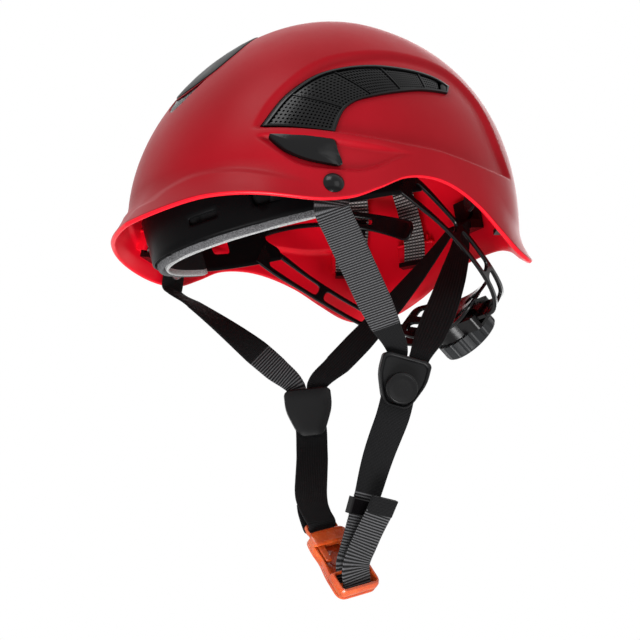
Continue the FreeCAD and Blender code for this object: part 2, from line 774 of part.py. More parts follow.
def make_upper_arm():
    """Slotted upper wing of the headband with a free rounded end."""
    points = upper_arm_points()
    up = Vector(0, 0, 1)
    arm = ribbon(route_with(points, BAND_UP, up, 41), UPPER_ARM_DEPTH, BAND_WALL)
    return slot_cut(arm, points, BAND_UP, up, [(0.16, 0.42)], ARM_SLOT + 2, BAND_WALL)


def make_hanger(number, line):
    """Bent link from the foot of a suspension key to a line of the headband."""
    middle = -KEY_FOOT - HANGER_WALL
    start = key_point(number, 1, KEY_REACH + SOFT_GAP, middle)
    bend = key_point(number, 1, KEY_REACH + HANGER_BEND, middle)
    lean = key_lean(number, 1)
    nearest = min(range(1, len(line) - 1), key=lambda i: (line[i][0] - start).Length)
    target, upright = line[nearest]
    run = unit(line[nearest + 1][0] - line[nearest - 1][0])
    if run.dot(lean) < 0:
        run = run * -1
    facing = unit(run.cross(square_to(upright, run)))
    if facing.dot(start - target) < 0:
        facing = facing * -1
    end = target + facing * (BAND_WALL / 2.0 + 2 * SOFT_GAP)
    near_end = end + facing * HANGER_BEND
    return ribbon([(start, lean), (bend, lean), (near_end, run), (end, run)],
                  HANGER_WIDTH, HANGER_WALL)


def make_hangers():
    """Four links that hang the headband from the suspension keys."""
    rise = BAND_DEPTH * HANGER_RISE
    band = [(band_point(turn, 0, rise), BAND_UP) for turn in range(20, 90, 2)]
    arm = route_with(upper_arm_points(), BAND_UP, Vector(0, 0, 1), 41)
    left = [make_hanger(0, band), make_hanger(1, arm)]
    return Part.makeCompound(left + [mirrored(link) for link in left])


# ------------------------------------------------------------- size adjuster
DROP = math.radians(KNOB_DROP)
KNOB_AXIS = Vector(0, math.cos(DROP), -math.sin(DROP))
ADJUSTER_UP = Vector(0, math.sin(DROP), math.cos(DROP))
ADJUSTER = frame_at(NAPE, Vector(-1, 0, 0), ADJUSTER_UP)
FLANK = math.tan(math.radians(20))


def tooth_profile():
    """Half widths of a tooth at its root and at its tip."""
    half = TOOTH_SHARE * math.pi * MODULE / 2.0
    root = half + DEDENDUM * FLANK
    tip = half - ADDENDUM * FLANK
    return root, tip


def make_pinion():
    """Small gear with the journals that carry the knob."""
    low = LEFT_LAYER - 0.1
    height = LAYERS_TOP + 0.1 - low
    root_radius = PITCH_RADIUS - DEDENDUM
    body = cylinder(root_radius, Vector(0, 0, low), Vector(0, 0, 1), height)
    root, tip = tooth_profile()
    teeth = []
    for i in range(PINION_TEETH):
        inner = root_radius - 0.3
        outer = PITCH_RADIUS + ADDENDUM
        outline = [Vector(-root, -inner, low), Vector(root, -inner, low),
                   Vector(tip, -outer, low), Vector(-tip, -outer, low)]
        tooth = extruded(outline, Vector(0, 0, height))
        tooth.rotate(Vector(0, 0, 0), Vector(0, 0, 1), i * 360.0 / PINION_TEETH)
        teeth.append(tooth)
    foot = cylinder(FOOT_RADIUS, Vector(0, 0, 0.1), Vector(0, 0, 1), low)
    neck = cylinder(NECK_RADIUS, Vector(0, 0, low + height), Vector(0, 0, 1),
                    HOUSING_TOP + NECK_STAND - low - height)
    gear = body.fuse(teeth + [foot, neck]).removeSplitter()
    bore = cylinder(SCREW_RADIUS, Vector(0, 0, 3.0), Vector(0, 0, 1), 30)
    return gear.cut(bore)


def make_rack(side):
    """Slotted end of a rear arm with teeth along one side of its slot.

    Side -1 is the left rack, which the pinion meets below, in the lower layer.
    """
    low = LEFT_LAYER if side < 0 else RIGHT_LAYER
    half = ARM_DEPTH / 2.0
    reach = PITCH_RADIUS + ADDENDUM
    inner_end = -side * (reach + 4.5)
    outer_end = side * RACK_REACH
    slot_in = -side * (reach + 1.0)
    slot_out = side * (RACK_TRAVEL + reach + 1.0)
    xs = sorted((inner_end, outer_end))
    plate = box((xs[0], -half, low), (xs[1], half, low + RACK_THICKNESS))
    xs = sorted((slot_in, slot_out))
    toothed = side * (PITCH_RADIUS + DEDENDUM)
    free = -side * (PITCH_RADIUS + ADDENDUM + 0.35)
    ys = sorted((toothed, free))
    slot = box((xs[0], ys[0], low - 1), (xs[1], ys[1], low + RACK_THICKNESS + 1))
    rack = plate.cut(slot)
    root, tip = tooth_profile()
    pitch = math.pi * MODULE
    count = int(RACK_TRAVEL / pitch) + 4
    teeth = []
    for i in range(-2, count):
        x = side * (i + 0.5) * pitch
        if not xs[0] + root < x < xs[1] - root:
            continue
        base = toothed + side * 0.3
        top = side * (PITCH_RADIUS - ADDENDUM)
        outline = [Vector(x - root, base, low), Vector(x + root, base, low),
                   Vector(x + tip, top, low), Vector(x - tip, top, low)]
        teeth.append(extruded(outline, Vector(0, 0, RACK_THICKNESS)))
    return placed(rack.fuse(teeth).removeSplitter(), ADJUSTER)


def make_housing():
    """Box that guides both racks and carries the pinion."""
    length = HOUSING_LENGTH / 2.0
    height = HOUSING_HEIGHT / 2.0
    body = box((-length, -height, 0), (length, height, HOUSING_TOP))
    body = body.makeFillet(5.0, [e for e in body.Edges
                                 if abs(e.BoundBox.ZLength - HOUSING_TOP) < 0.01])
    round_boss = cylinder(HOUSING_RING, Vector(0, 0, 0), Vector(0, 0, 1), HOUSING_TOP)
    body = body.fuse(round_boss)
    inner = ARM_DEPTH / 2.0 + SLIDING_GAP
    tunnel = box((-length - 1, -inner, HOUSING_FLOOR), (length + 1, inner, HOUSING_ROOF))
    foot = cylinder(FOOT_RADIUS + RUNNING_GAP, Vector(0, 0, -1), Vector(0, 0, 1), 5)
    neck = cylinder(NECK_RADIUS + RUNNING_GAP, Vector(0, 0, HOUSING_ROOF - 1),
                    Vector(0, 0, 1), 9)
    return placed(body.cut([tunnel, foot, neck]), ADJUSTER)


def make_cradle():
    """Curved plate that rests on the nape in front of the housing."""
    route = []
    for i in range(17):
        angle = math.radians(-CRADLE_SWEEP + 2 * CRADLE_SWEEP * i / 16.0)
        x = CRADLE_RADIUS * math.sin(angle)
        z = -CRADLE_RADIUS * (1 - math.cos(angle)) - CRADLE_WALL / 2.0
        route.append((Vector(x, 0, z), Vector(0, 1, 0)))
    plate = ribbon(route, CRADLE_DEPTH, CRADLE_WALL)
    side = math.sin(math.radians(CRADLE_SWEEP)) * CRADLE_RADIUS * 0.62
    windows = [box((x - 9, -10, -40), (x + 9, -3.5, 10)) for x in (-side, side)]
    windows += [box((x - 9, 3.5, -40), (x + 9, 10, 10)) for x in (-side, side)]
    foot = cylinder(FOOT_RADIUS + 0.6, Vector(0, 0, -5), Vector(0, 0, 1), 9)
    return placed(plate.cut(windows + [foot]), ADJUSTER)


def make_knob():
    """Ribbed knob with a hub that takes the pinion's neck."""
    radius = KNOB_DIAMETER / 2.0
    top = KNOB_BASE + KNOB_THICKNESS
    body = cylinder(radius, Vector(0, 0, KNOB_BASE), Vector(0, 0, 1), KNOB_THICKNESS)
    body = body.makeFillet(1.6, [body.Edges[0]])
    hollow = cylinder(radius - KNOB_RIM, Vector(0, 0, KNOB_BASE - 1), Vector(0, 0, 1),
                      KNOB_THICKNESS - KNOB_ROOF)
    hub = cylinder(HUB_RADIUS, Vector(0, 0, KNOB_BASE), Vector(0, 0, 1), KNOB_THICKNESS - KNOB_ROOF)
    body = body.cut(hollow).fuse(hub)
    grooves = []
    for i in range(KNOB_RIBS):
        angle = 2 * math.pi * (i + 0.5) / KNOB_RIBS
        base = Vector(math.cos(angle) * (radius + 1.2), math.sin(angle) * (radius + 1.2),
                      KNOB_BASE - 1)
        grooves.append(cylinder(2.3, base, Vector(0, 0, 1), KNOB_THICKNESS + 2))
    seat = cylinder(NECK_RADIUS, Vector(0, 0, KNOB_BASE - 1), Vector(0, 0, 1),
                    HOUSING_TOP + NECK_STAND - KNOB_BASE + 1)
    screw = cylinder(SCREW_RADIUS + 0.1, Vector(0, 0, 0), Vector(0, 0, 1), top + 1)
    head = cylinder(SCREW_RADIUS * 2 + 0.2, Vector(0, 0, top - HEAD_SINK), Vector(0, 0, 1), 5)
    return placed(body.cut(grooves + [seat, screw, head]), ADJUSTER)


def make_knob_screw():
    top = KNOB_BASE + KNOB_THICKNESS
    shank = cylinder(SCREW_RADIUS, Vector(0, 0, 4.0), Vector(0, 0, 1), top - HEAD_SINK - 4.0)
    head = cylinder(SCREW_RADIUS * 2, Vector(0, 0, top - HEAD_SINK), Vector(0, 0, 1), 1.6)
    cross = box((-2, -0.4, top - 1.4), (2, 0.4, top))
    return placed(shank.fuse(head).cut([cross]), ADJUSTER)


def make_detent_spring():
    """Leaf on the housing's roof that clicks against the knob's inner rim."""
    rim = KNOB_DIAMETER / 2.0 - KNOB_RIM
    z = HOUSING_TOP + 0.02
    ring = cylinder(rim - 1.0, Vector(0, 0, z), Vector(0, 0, 1), 1.2)
    ring = ring.cut(cylinder(rim - 3.0, Vector(0, 0, z - 1), Vector(0, 0, 1), 5))
    gate = box((-rim, 2, z - 1), (rim, rim, z + 5))
    bridge = box((-rim + 1.6, -2.5, z), (rim - 1.6, 0.0, z + 1.2))
    bridge = bridge.cut(cylinder(HUB_RADIUS + 0.6, Vector(0, 0, z - 1), Vector(0, 0, 1), 5))
    return placed(max(ring.cut(gate).fuse(bridge).Solids, key=lambda s: s.Volume), ADJUSTER)


def make_rear_arm(side):
    """Slotted flexible arm from the headband to its rack."""
    layer = (LEFT_LAYER if side > 0 else RIGHT_LAYER) + RACK_THICKNESS / 2.0
    reach = RACK_REACH + 0.5
    end = ADJUSTER.multVec(Vector(-reach * side, 0, layer))
    run_in = ADJUSTER.multVec(Vector(-(reach + 14) * side, 0, layer))
    wide = BAND_WIDTH / 2.0
    start = band_point(95 * side, 0, ARM_DEPTH / 2.0 - 1.2)
    points = [start, Vector(wide * 1.0 * side, BAND_REAR * 0.46, start.z - 18),
              Vector(wide * 0.84 * side, BAND_REAR * 0.90, NAPE.z + 5), run_in, end]
    arm = ribbon(route_with(points, BAND_UP, ADJUSTER_UP, 41), ARM_DEPTH, RACK_THICKNESS)
    spans = [(0.10, 0.36), (0.42, 0.66), (0.72, 0.90)]
    return slot_cut(arm, points, BAND_UP, ADJUSTER_UP, spans, ARM_SLOT, RACK_THICKNESS)


# ----------------------------------------------------------------- chin strap
RIGHT_DIVIDER = Vector(-DIVIDER.x, DIVIDER.y, DIVIDER.z)
BUCKLE_ALONG = unit(Vector(0.51, 0.24, -0.82))
BUCKLE_ACROSS = Vector(0.0, 0.95, 0.30)
BUCKLE_PLACE = frame_at(BUCKLE, BUCKLE_ALONG, BUCKLE_ACROSS)
LEFT_FACING = unit(Vector(0.88, -0.42, -0.20))
RIGHT_FACING = unit(Vector(-0.84, 0.50, 0.12))


def divider_place(centre, facing, down):
    x_axis = square_to(down, facing)
    y_axis = facing.cross(x_axis)
    return frame_at(centre, x_axis, y_axis)


LEFT_PLACE = divider_place(DIVIDER, LEFT_FACING, Vector(-0.32, -0.10, -0.94))
RIGHT_PLACE = divider_place(RIGHT_DIVIDER, RIGHT_FACING, Vector(0.40, -0.12, -0.90))


def make_divider(place):
    """Shield-shaped side divider with a strap cavity and a button recess."""
    half = DIVIDER_HEIGHT / 2.0
    wide = DIVIDER_WIDTH / 2.0
    outline = [(-half, -wide + 5), (-half + 5, -wide), (-half + 13, -wide),
               (half - 4, -wide + 5), (half, -wide + 8), (half, wide - 8),
               (half - 4, wide - 5), (-half + 13, wide), (-half + 5, wide),
               (-half, wide - 5)]
    points = [Vector(x, y, -DIVIDER_DEPTH / 2.0) for x, y in outline]
    body = extruded(points, Vector(0, 0, DIVIDER_DEPTH))
    body = body.makeFillet(1.2, [e for e in body.Edges if e.BoundBox.ZLength < 0.01])
    cavity = CAVITY / 2.0
    upper = box((-half - 1, -wide + 1.5, -cavity), (-2, wide - 1.5, cavity))
    lower_half = STRAP_WIDTH / 2.0 + 0.5
    lower = box((-2.5, -lower_half, -cavity), (half + 1, lower_half, cavity))
    rib = box((-half, -0.8, -DIVIDER_DEPTH / 2.0), (-half + 7, 0.8, DIVIDER_DEPTH / 2.0))
    top = DIVIDER_DEPTH / 2.0
    recess = cylinder(BUTTON_DIAMETER / 2.0 + SLIDING_GAP,
                      Vector(BUTTON_OFFSET, 0, top - RECESS), Vector(0, 0, 1), 10)
    return placed(body.cut([upper, lower]).fuse(rib).cut(recess), place)


def make_divider_button(place):
    """Round lock button that presses into the divider."""
    base = DIVIDER_DEPTH / 2.0 - RECESS + BUTTON_TRAVEL + 0.1
    height = RECESS - BUTTON_TRAVEL - 0.1 + BUTTON_STAND
    body = cylinder(BUTTON_DIAMETER / 2.0, Vector(BUTTON_OFFSET, 0, base),
                    Vector(0, 0, 1), height)
    edge = [e for e in body.Edges if abs(e.BoundBox.ZMax - base - height) < 0.01
            and e.BoundBox.ZLength < 0.01]
    return placed(body.makeFillet(0.9, edge), place)


def strap_end(place, side_shift):
    """Where an upper strap ends inside a divider, and its direction of width."""
    inside = place.multVec(Vector(-DIVIDER_HEIGHT / 2.0 + 9, side_shift, 0))
    mouth = place.multVec(Vector(-DIVIDER_HEIGHT / 2.0 - 2, side_shift, 0))
    across = place.multVec(Vector(0, 1, 0)) - place.multVec(Vector(0, 0, 0))
    return inside, mouth, across


def tapered(route):
    """A band through (point, width direction, width) triples."""
    wires = []
    for i, (point, lean, width) in enumerate(route):
        before = route[max(i - 1, 0)][0]
        after = route[min(i + 1, len(route) - 1)][0]
        run = unit(after - before)
        across = square_to(lean, run) * (width / 2.0)
        through = unit(run.cross(across)) * (STRAP_WALL / 2.0)
        ring = [point + across + through, point - across + through,
                point - across - through, point + across - through]
        wires.append(Part.makePolygon(ring + [ring[0]]))
    return Part.makeLoft(wires, True, True)


def hung_strap(start, lean, bow, place, shift):
    """A strap from an anchor down into a divider."""
    inside, mouth, across = strap_end(place, shift)
    if lean.dot(across) < 0:
        across = across * -1
    middle = (start + mouth) * 0.5 + bow
    upper = bezier([start, middle, mouth], 15)
    leans = blended(lean, across, 15)
    route = []
    for i, (point, width_way) in enumerate(zip(upper, leans)):
        share = i / 14.0
        ease = min(1.0, min(share / 0.3, (1 - share) / 0.14))
        taper = HALF_END + (STRAP_WIDTH - HALF_END) * ease
        route.append((point, width_way, taper))
    route.append((inside, across, HALF_END))
    return tapered(route)


def make_front_strap(side):
    """Strap from the side rivet to the divider, pierced by the rivet."""
    hit, normal = rivet_frame()
    depth = SEAT_DEPTH + STACK_GAP + STRAP_WALL / 2.0
    seat = hit - normal * depth
    down = square_to(Vector(0, 0, -1), normal)
    top = seat - down * 8.0
    below = seat + down * 7.0
    low = seat + down * 13.0 - normal * 1.0
    lean = normal.cross(down)
    if side < 0:
        seat, top, below, low, lean, normal = [
            Vector(-v.x, v.y, v.z) for v in (seat, top, below, low, lean, normal)]
    place = LEFT_PLACE if side > 0 else RIGHT_PLACE
    shift = -STRAP_SHIFT * side_sign(place, Vector(0, -1, 0))
    inside, mouth, across = strap_end(place, shift)
    if lean.dot(across) < 0:
        across = across * -1
    bow = (mouth + low) * 0.5 + Vector(-3.0 * side, 0, 4)
    points = [low] + bezier([low, bow, mouth], 13)[1:]
    leans = blended(lean, across, 13)
    route = [(top, lean, STRAP_WIDTH), (below, lean, STRAP_WIDTH)]
    for i, (point, width_way) in enumerate(zip(points, leans)):
        share = i / 12.0
        width = STRAP_WIDTH if share < 0.86 else HALF_END + (
            STRAP_WIDTH - HALF_END) * (1 - share) / 0.14
        route.append((point, width_way, width))
    route.append((inside, across, HALF_END))
    strap = tapered(route)
    hole = cylinder(RIVET_SHANK / 2.0 + RUNNING_GAP, seat - normal * 5, normal, 10)
    return strap.cut(hole)


def side_sign(place, way):
    """Which end of a divider's width points a given way: -1 or 1."""
    across = place.multVec(Vector(0, 1, 0)) - place.multVec(Vector(0, 0, 0))
    return -1.0 if across.dot(way) > 0 else 1.0


def make_rear_strap(side, anchor_place, anchor_side):
    """Strap from the nape anchor down to the divider, turning as it falls."""
    place = LEFT_PLACE if side > 0 else RIGHT_PLACE
    shift = STRAP_SHIFT * side_sign(place, Vector(0, -1, 0))
    out = anchor_side * (ANCHOR_WALL + ANCHOR_LUG)
    start = anchor_place.multVec(Vector(side * 6.4, 11.0, out + anchor_side * 2.1))
    lean = Vector(1.0, 0, 0)
    return hung_strap(start, lean, Vector(side * 3.0, 6.0, -4.0), place, shift)


def make_lower_right_strap():
    """Strap from the right divider, looped round the bar of the tongue."""
    half = DIVIDER_HEIGHT / 2.0
    start = RIGHT_PLACE.multVec(Vector(0, 0, 0))
    mouth = RIGHT_PLACE.multVec(Vector(half + 4, 0, 0))
    first = RIGHT_PLACE.multVec(Vector(0, 1, 0)) - start
    last = BUCKLE_PLACE.multVec(Vector(0, 1, 0)) - BUCKLE_PLACE.multVec(Vector(0, 0, 0))
    if first.dot(last) < 0:
        first = first * -1
    bar = -BUCKLE_LENGTH / 2.0 - TONGUE_STAND - TONGUE_BAR / 2.0
    reach = math.hypot(TONGUE_BAR, TONGUE_WALL) / 2.0 + SOFT_GAP + STRAP_WALL / 2.0
    above = BUCKLE_PLACE.multVec(Vector(bar - 14, 0, 1.2))
    end = BUCKLE_PLACE.multVec(Vector(bar, 0, reach))
    points = [start] + bezier([mouth, (mouth * 2 + above) * (1 / 3.0), above], 11) + [end]
    leans = [first] + blended(first, last, 11) + [last]
    turns = 8
    for i in range(1, turns + 1):
        angle = math.pi * i / turns
        points.append(BUCKLE_PLACE.multVec(Vector(bar + reach * math.sin(angle), 0,
                                                  reach * math.cos(angle))))
        leans.append(last)
    points.append(BUCKLE_PLACE.multVec(Vector(bar - 12, 0, 1.2 - 2.4 * STRAP_WALL / 1.6)))
    leans.append(last)
    return ribbon(list(zip(points, leans)), STRAP_WIDTH, STRAP_WALL)




def near_frame():
    """The straight run of the left lower strap, upwards from above the bar."""
    mouth = LEFT_PLACE.multVec(Vector(DIVIDER_HEIGHT / 2.0 + 3, 0, 0))
    bar, bar_up, bar_across, bar_outer = bar_frame()
    foot = bar + bar_up * BAR_RISE
    up = unit(mouth - foot)
    across = square_to(bar_across, up)
    outer = unit(across.cross(up))
    if outer.x < 0:
        outer = outer * -1
    return (mouth - foot).Length, foot, up, across, outer


def bar_frame():
    """The bar of the buckle and the way that the strap leaves it."""
    bar = BUCKLE_PLACE.multVec(Vector(BAR_PLACE, 0, BAR_HEIGHT))
    bar_across = BUCKLE_PLACE.multVec(Vector(BAR_PLACE, 1, BAR_HEIGHT)) - bar
    bar_up = square_to(DIVIDER - bar, bar_across)
    bar_outer = bar_across.cross(bar_up)
    if bar_outer.x < 0:
        bar_outer = bar_outer * -1
    return bar, bar_up, bar_across, bar_outer


def make_left_lower_strap():
    """Fixed upper part of the left lower strap."""
    length, foot, up, across, outer = near_frame()
    start = LEFT_PLACE.multVec(Vector(0, 0, 0))
    mouth = LEFT_PLACE.multVec(Vector(DIVIDER_HEIGHT / 2.0 + 3, 0, 0))
    first = LEFT_PLACE.multVec(Vector(0, 1, 0)) - start
    if first.dot(across) < 0:
        first = first * -1
    split = foot + up * (length * SPLIT_SHARE + JOINT_GAP) - outer * LOOP_REACH
    low = split + up * (length * 0.2)
    points = [start] + bezier([mouth, low, split], 9)
    leans = [first] + blended(first, across, 9)
    return ribbon(list(zip(points, leans)), STRAP_WIDTH, STRAP_WALL)


def make_strap_loop():
    """Strap down to the buckle's bar, round it and back up as the tail."""
    length, foot, up, across, outer = near_frame()
    bar, bar_up, bar_across, bar_outer = bar_frame()
    split = foot + up * (length * SPLIT_SHARE - JOINT_GAP) - outer * LOOP_REACH
    straight = foot + up * STRAIGHT_FROM - outer * LOOP_REACH
    route = [(split, across), (straight, across)]
    route.append((foot - bar_outer * LOOP_REACH, bar_across))
    turns = 10
    for i in range(turns + 1):
        angle = math.pi * i / turns
        point = (bar - bar_outer * (LOOP_REACH * math.cos(angle))
                 - bar_up * (LOOP_REACH * math.sin(angle)))
        route.append((point, bar_across))
    route.append((foot + bar_outer * LOOP_REACH, bar_across))
    for share in (0.45, 0.7, 1.0):
        lean = outer * (LOOP_REACH + TAIL_FLARE * share ** 2)
        route.append((foot + up * (length * TAIL_SHARE * share) + lean
                      + across * (TAIL_SHIFT * share), across))
    return ribbon(route, STRAP_WIDTH, STRAP_WALL)


def make_strap_tail():
    """Folded and sewn end of the tail."""
    length, foot, up, across, outer = near_frame()
    lean = outer * (LOOP_REACH + TAIL_FLARE)
    end = foot + up * (length * TAIL_SHARE) + lean + across * TAIL_SHIFT
    run = unit(up * (length * 0.12) + outer * (TAIL_FLARE * 0.5))
    route = [(end + run * TAIL_GAP, across), (end + run * TAIL_LENGTH, across)]
    return ribbon(route, STRAP_WIDTH, 2 * STRAP_WALL)


def make_keeper():
    """Sliding loop on the strap."""
    length, foot, up, across, outer = near_frame()
    centre = foot + up * (length * KEEPER_SHARE) - outer * LOOP_REACH
    place = frame_at(centre, up, across)
    wide = STRAP_WIDTH / 2.0 + 0.4
    deep = STRAP_WALL / 2.0 + 0.4
    wall = 1.4
    body = box((-5, -wide - wall, -deep - wall), (5, wide + wall, deep + wall))
    body = body.makeFillet(1.0, [e for e in body.Edges if e.BoundBox.DiagonalLength > 9])
    hollow = box((-6, -wide, -deep), (6, wide, deep))
    return placed(body.cut(hollow), place)


def make_buckle_body():
    """Open-sided buckle frame with a bar for the strap and a mouth for the tongue."""
    half = BUCKLE_LENGTH / 2.0
    wide = BUCKLE_WIDTH / 2.0
    deep = BUCKLE_DEPTH / 2.0
    body = box((-half, -wide, -deep), (half, wide, deep))
    upright = [e for e in body.Edges if abs(e.BoundBox.ZLength - BUCKLE_DEPTH) < 0.01]
    body = body.makeFillet(5.0, upright)
    inner = wide - BUCKLE_WALL
    gap_low = BAR_PLACE - BAR_RADIUS - STRAP_WALL - 2.4
    gap_high = BAR_PLACE + BAR_RADIUS + STRAP_WALL + 2 * SOFT_GAP
    tray = box((-half + 8, -inner, -deep + BUCKLE_FLOOR), (gap_high, inner, deep + 1))
    strap_gap = box((gap_low, -inner, -deep - 1), (gap_high, inner, deep + 1))
    wide_mouth = TONGUE_WIDTH / 2.0 + SLIDING_GAP
    mouth = box((-half - 1, -wide_mouth, -TONGUE_WALL / 2.0 - SLIDING_GAP),
                (-half + 9, wide_mouth, TONGUE_WALL / 2.0 + SLIDING_GAP))
    window = cylinder(BUCKLE_BUTTON / 2.0 + SLIDING_GAP,
                      Vector(BUCKLE_BUTTON_PLACE, 0, -deep - 1), Vector(0, 0, 1), 4)
    bar = cylinder(BAR_RADIUS, Vector(BAR_PLACE, -inner - 0.5, BAR_HEIGHT),
                   Vector(0, 1, 0), 2 * inner + 1)
    body = body.cut([tray, strap_gap, mouth, window]).fuse(bar)
    return placed(body, BUCKLE_PLACE)


def make_tongue():
    """Flat tongue with two hooked prongs and a bar for the right strap."""
    half = BUCKLE_LENGTH / 2.0
    wide = TONGUE_WIDTH / 2.0
    body = box((-half - TONGUE_STAND - TONGUE_BAR, -wide, -TONGUE_WALL / 2.0),
               (-half + TONGUE_REACH, wide, TONGUE_WALL / 2.0))
    throat = box((-half + 9, -wide + 5, -5), (-half + TONGUE_REACH + 1, wide - 5, 5))
    slot = box((-half - TONGUE_STAND, -STRAP_WIDTH / 2.0 - 0.4, -5),
               (-half - TONGUE_STAND + 3.6, STRAP_WIDTH / 2.0 + 0.4, 5))
    return placed(body.cut([throat, slot]), BUCKLE_PLACE)


def make_buckle_button():
    """Round release button on the buckle's outer face."""
    deep = BUCKLE_DEPTH / 2.0
    base = Vector(BUCKLE_BUTTON_PLACE, 0, -deep - BUTTON_TRAVEL)
    return placed(cylinder(BUCKLE_BUTTON / 2.0, base, Vector(0, 0, 1), 3.2), BUCKLE_PLACE)


# -------------------------------------------------------------------- writing
def parts():
    wall_skin = skin(-SHELL_WALL, 0)
    deep_skin = skin(-TRIM_DEPTH, 6)
    trim_skin = skin(-TRIM_DEPTH + STACK_GAP, TRIM_STAND)
    mesh_skin = skin(-SHELL_WALL - 1.3, -SHELL_WALL - 0.1)
    made = {"shell": make_shell(wall_skin, deep_skin),
            "front_badge": make_badge(trim_skin),
            "scoop_mesh": make_scoop_mesh(mesh_skin)}
    pairs = {"vent_grille": make_grille(trim_skin),
             "side_plate": make_side_plate(trim_skin),
             "strap_rivet": make_rivet(),
             "rivet_washer": make_washer(),
             "upper_arm": make_upper_arm()}
    for name, left in pairs.items():
        made["left_" + name] = left
        made["right_" + name] = mirrored(left)
    keys = [suspension_key(i) for i in range(len(KEY_PLACES))]
    made["suspension_keys"] = Part.makeCompound(keys + [mirrored(k) for k in keys])
    made.update(make_crown_straps())
    made["headband"] = make_headband()
    made["headband_hangers"] = make_hangers()
    made["brow_pad"], made["brow_pad_lining"] = make_brow_pad()
    made["left_rear_arm"] = make_rear_arm(1)
    made["right_rear_arm"] = make_rear_arm(-1)
    made["nape_cradle"] = make_cradle()
    made["ratchet_housing"] = make_housing()
    made["left_rack"] = make_rack(-1)
    made["right_rack"] = make_rack(1)
    made["pinion"] = placed(make_pinion(), ADJUSTER)
    made["size_knob"] = make_knob()
    made["knob_screw"] = make_knob_screw()
    made["detent_spring"] = make_detent_spring()
    made["rear_anchor"], anchor_place, anchor_side = make_rear_anchor()
    made["rear_anchor_rivet"] = make_rear_rivet()
    for side, name, place in ((1, "left", LEFT_PLACE), (-1, "right", RIGHT_PLACE)):
        made[name + "_front_strap"] = make_front_strap(side)
        made[name + "_rear_strap"] = make_rear_strap(side, anchor_place, anchor_side)
        made[name + "_divider"] = make_divider(place)
        made[name + "_divider_button"] = make_divider_button(place)
    made["right_lower_strap"] = make_lower_right_strap()
    made["left_lower_strap"] = make_left_lower_strap()
    made["strap_loop"] = make_strap_loop()
    made["strap_tail"] = make_strap_tail()
    made["strap_keeper"] = make_keeper()
    made["buckle_body"] = make_buckle_body()
    made["buckle_tongue"] = make_tongue()
    made["buckle_button"] = make_buckle_button()
    return made


def write_parts():
    os.makedirs(OUT, exist_ok=True)
    for name, shape in parts().items():
        shape.exportStep(os.path.join(OUT, name + ".step"))
        print(name, len(shape.Solids), round(shape.Volume, 1), shape.isValid())


write_parts()
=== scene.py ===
import json
import math

import bpy
import bmesh
import numpy as np
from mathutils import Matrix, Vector
from mathutils.geometry import delaunay_2d_cdt


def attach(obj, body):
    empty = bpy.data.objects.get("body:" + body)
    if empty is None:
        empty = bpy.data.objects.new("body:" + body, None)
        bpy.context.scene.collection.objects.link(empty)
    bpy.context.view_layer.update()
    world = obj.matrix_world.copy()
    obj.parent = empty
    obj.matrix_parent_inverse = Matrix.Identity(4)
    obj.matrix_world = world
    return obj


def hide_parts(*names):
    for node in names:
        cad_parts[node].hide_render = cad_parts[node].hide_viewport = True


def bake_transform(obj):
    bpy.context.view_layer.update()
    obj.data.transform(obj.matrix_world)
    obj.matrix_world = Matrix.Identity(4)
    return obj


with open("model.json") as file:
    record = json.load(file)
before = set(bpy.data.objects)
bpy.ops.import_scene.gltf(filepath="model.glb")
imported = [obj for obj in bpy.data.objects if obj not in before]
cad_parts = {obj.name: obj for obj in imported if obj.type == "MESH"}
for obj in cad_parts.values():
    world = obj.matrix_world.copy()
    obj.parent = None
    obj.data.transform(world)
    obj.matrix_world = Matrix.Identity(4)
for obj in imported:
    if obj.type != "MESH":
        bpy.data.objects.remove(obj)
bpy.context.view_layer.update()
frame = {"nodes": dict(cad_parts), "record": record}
MM = 0.001

# ------------------------------------------------------------------ the dome
DOME_WIDTH = 209.0
FRONT_REACH = 119.5
REAR_REACH = 129.8
DOME_HEIGHT = 133.2
BROW_LEVEL = 60.0
BRIM_HEIGHT = 25.0
WALL = 3.0
HUB = np.array([0.0, 0.0, -50.0])
# The rim from front to rear: (share of the reach, level).
RIM_EDGE = [(-1.20, 33.5), (-1.12, 34.6), (-0.95, 38.6), (-0.55, 36.4),
            (-0.38, 39.6), (-0.24, 47.6), (-0.10, 56.6), (0.06, 60.4),
            (0.20, 59.0), (0.36, 52.6), (0.50, 43.2), (0.63, 35.4),
            (0.755, 34.0), (0.855, 38.8), (0.925, 47.2), (0.98, 58.4),
            (1.03, 67.0), (1.20, 72.0)]
# The brim's flare: (degrees round from the front, millimetres out).
RIM_FLARE = [(0.0, 13.9), (18.0, 9.8), (36.0, 7.6), (48.0, 4.8), (60.0, 2.8),
             (90.0, 1.4), (113.0, 0.0), (124.0, 2.0), (133.0, 5.8),
             (142.0, 8.4), (150.0, 6.6), (160.0, 4.2), (180.0, 4.9)]


def lookup(table, value):
    """Smooth curve through a table of (position, value), for arrays."""
    xs = np.array([a for a, _ in table])
    ys = np.array([b for _, b in table])
    last = len(xs) - 1
    low = np.maximum(np.arange(last + 1) - 1, 0)
    high = np.minimum(np.arange(last + 1) + 1, last)
    slope = (ys[high] - ys[low]) / (xs[high] - xs[low])
    v = np.clip(value, xs[0], xs[-1])
    i = np.clip(np.searchsorted(xs, v) - 1, 0, last - 1)
    span = xs[i + 1] - xs[i]
    t = (v - xs[i]) / span
    rise = ys[i] * (2 * t ** 3 - 3 * t ** 2 + 1) + ys[i + 1] * (3 * t ** 2 - 2 * t ** 3)
    lean = slope[i] * (t ** 3 - 2 * t ** 2 + t) + slope[i + 1] * (t ** 3 - t ** 2)
    return rise + lean * span


def station(share):
    return share * np.where(share < 0, FRONT_REACH, REAR_REACH)


def level(share):
    return BROW_LEVEL + share * DOME_HEIGHT


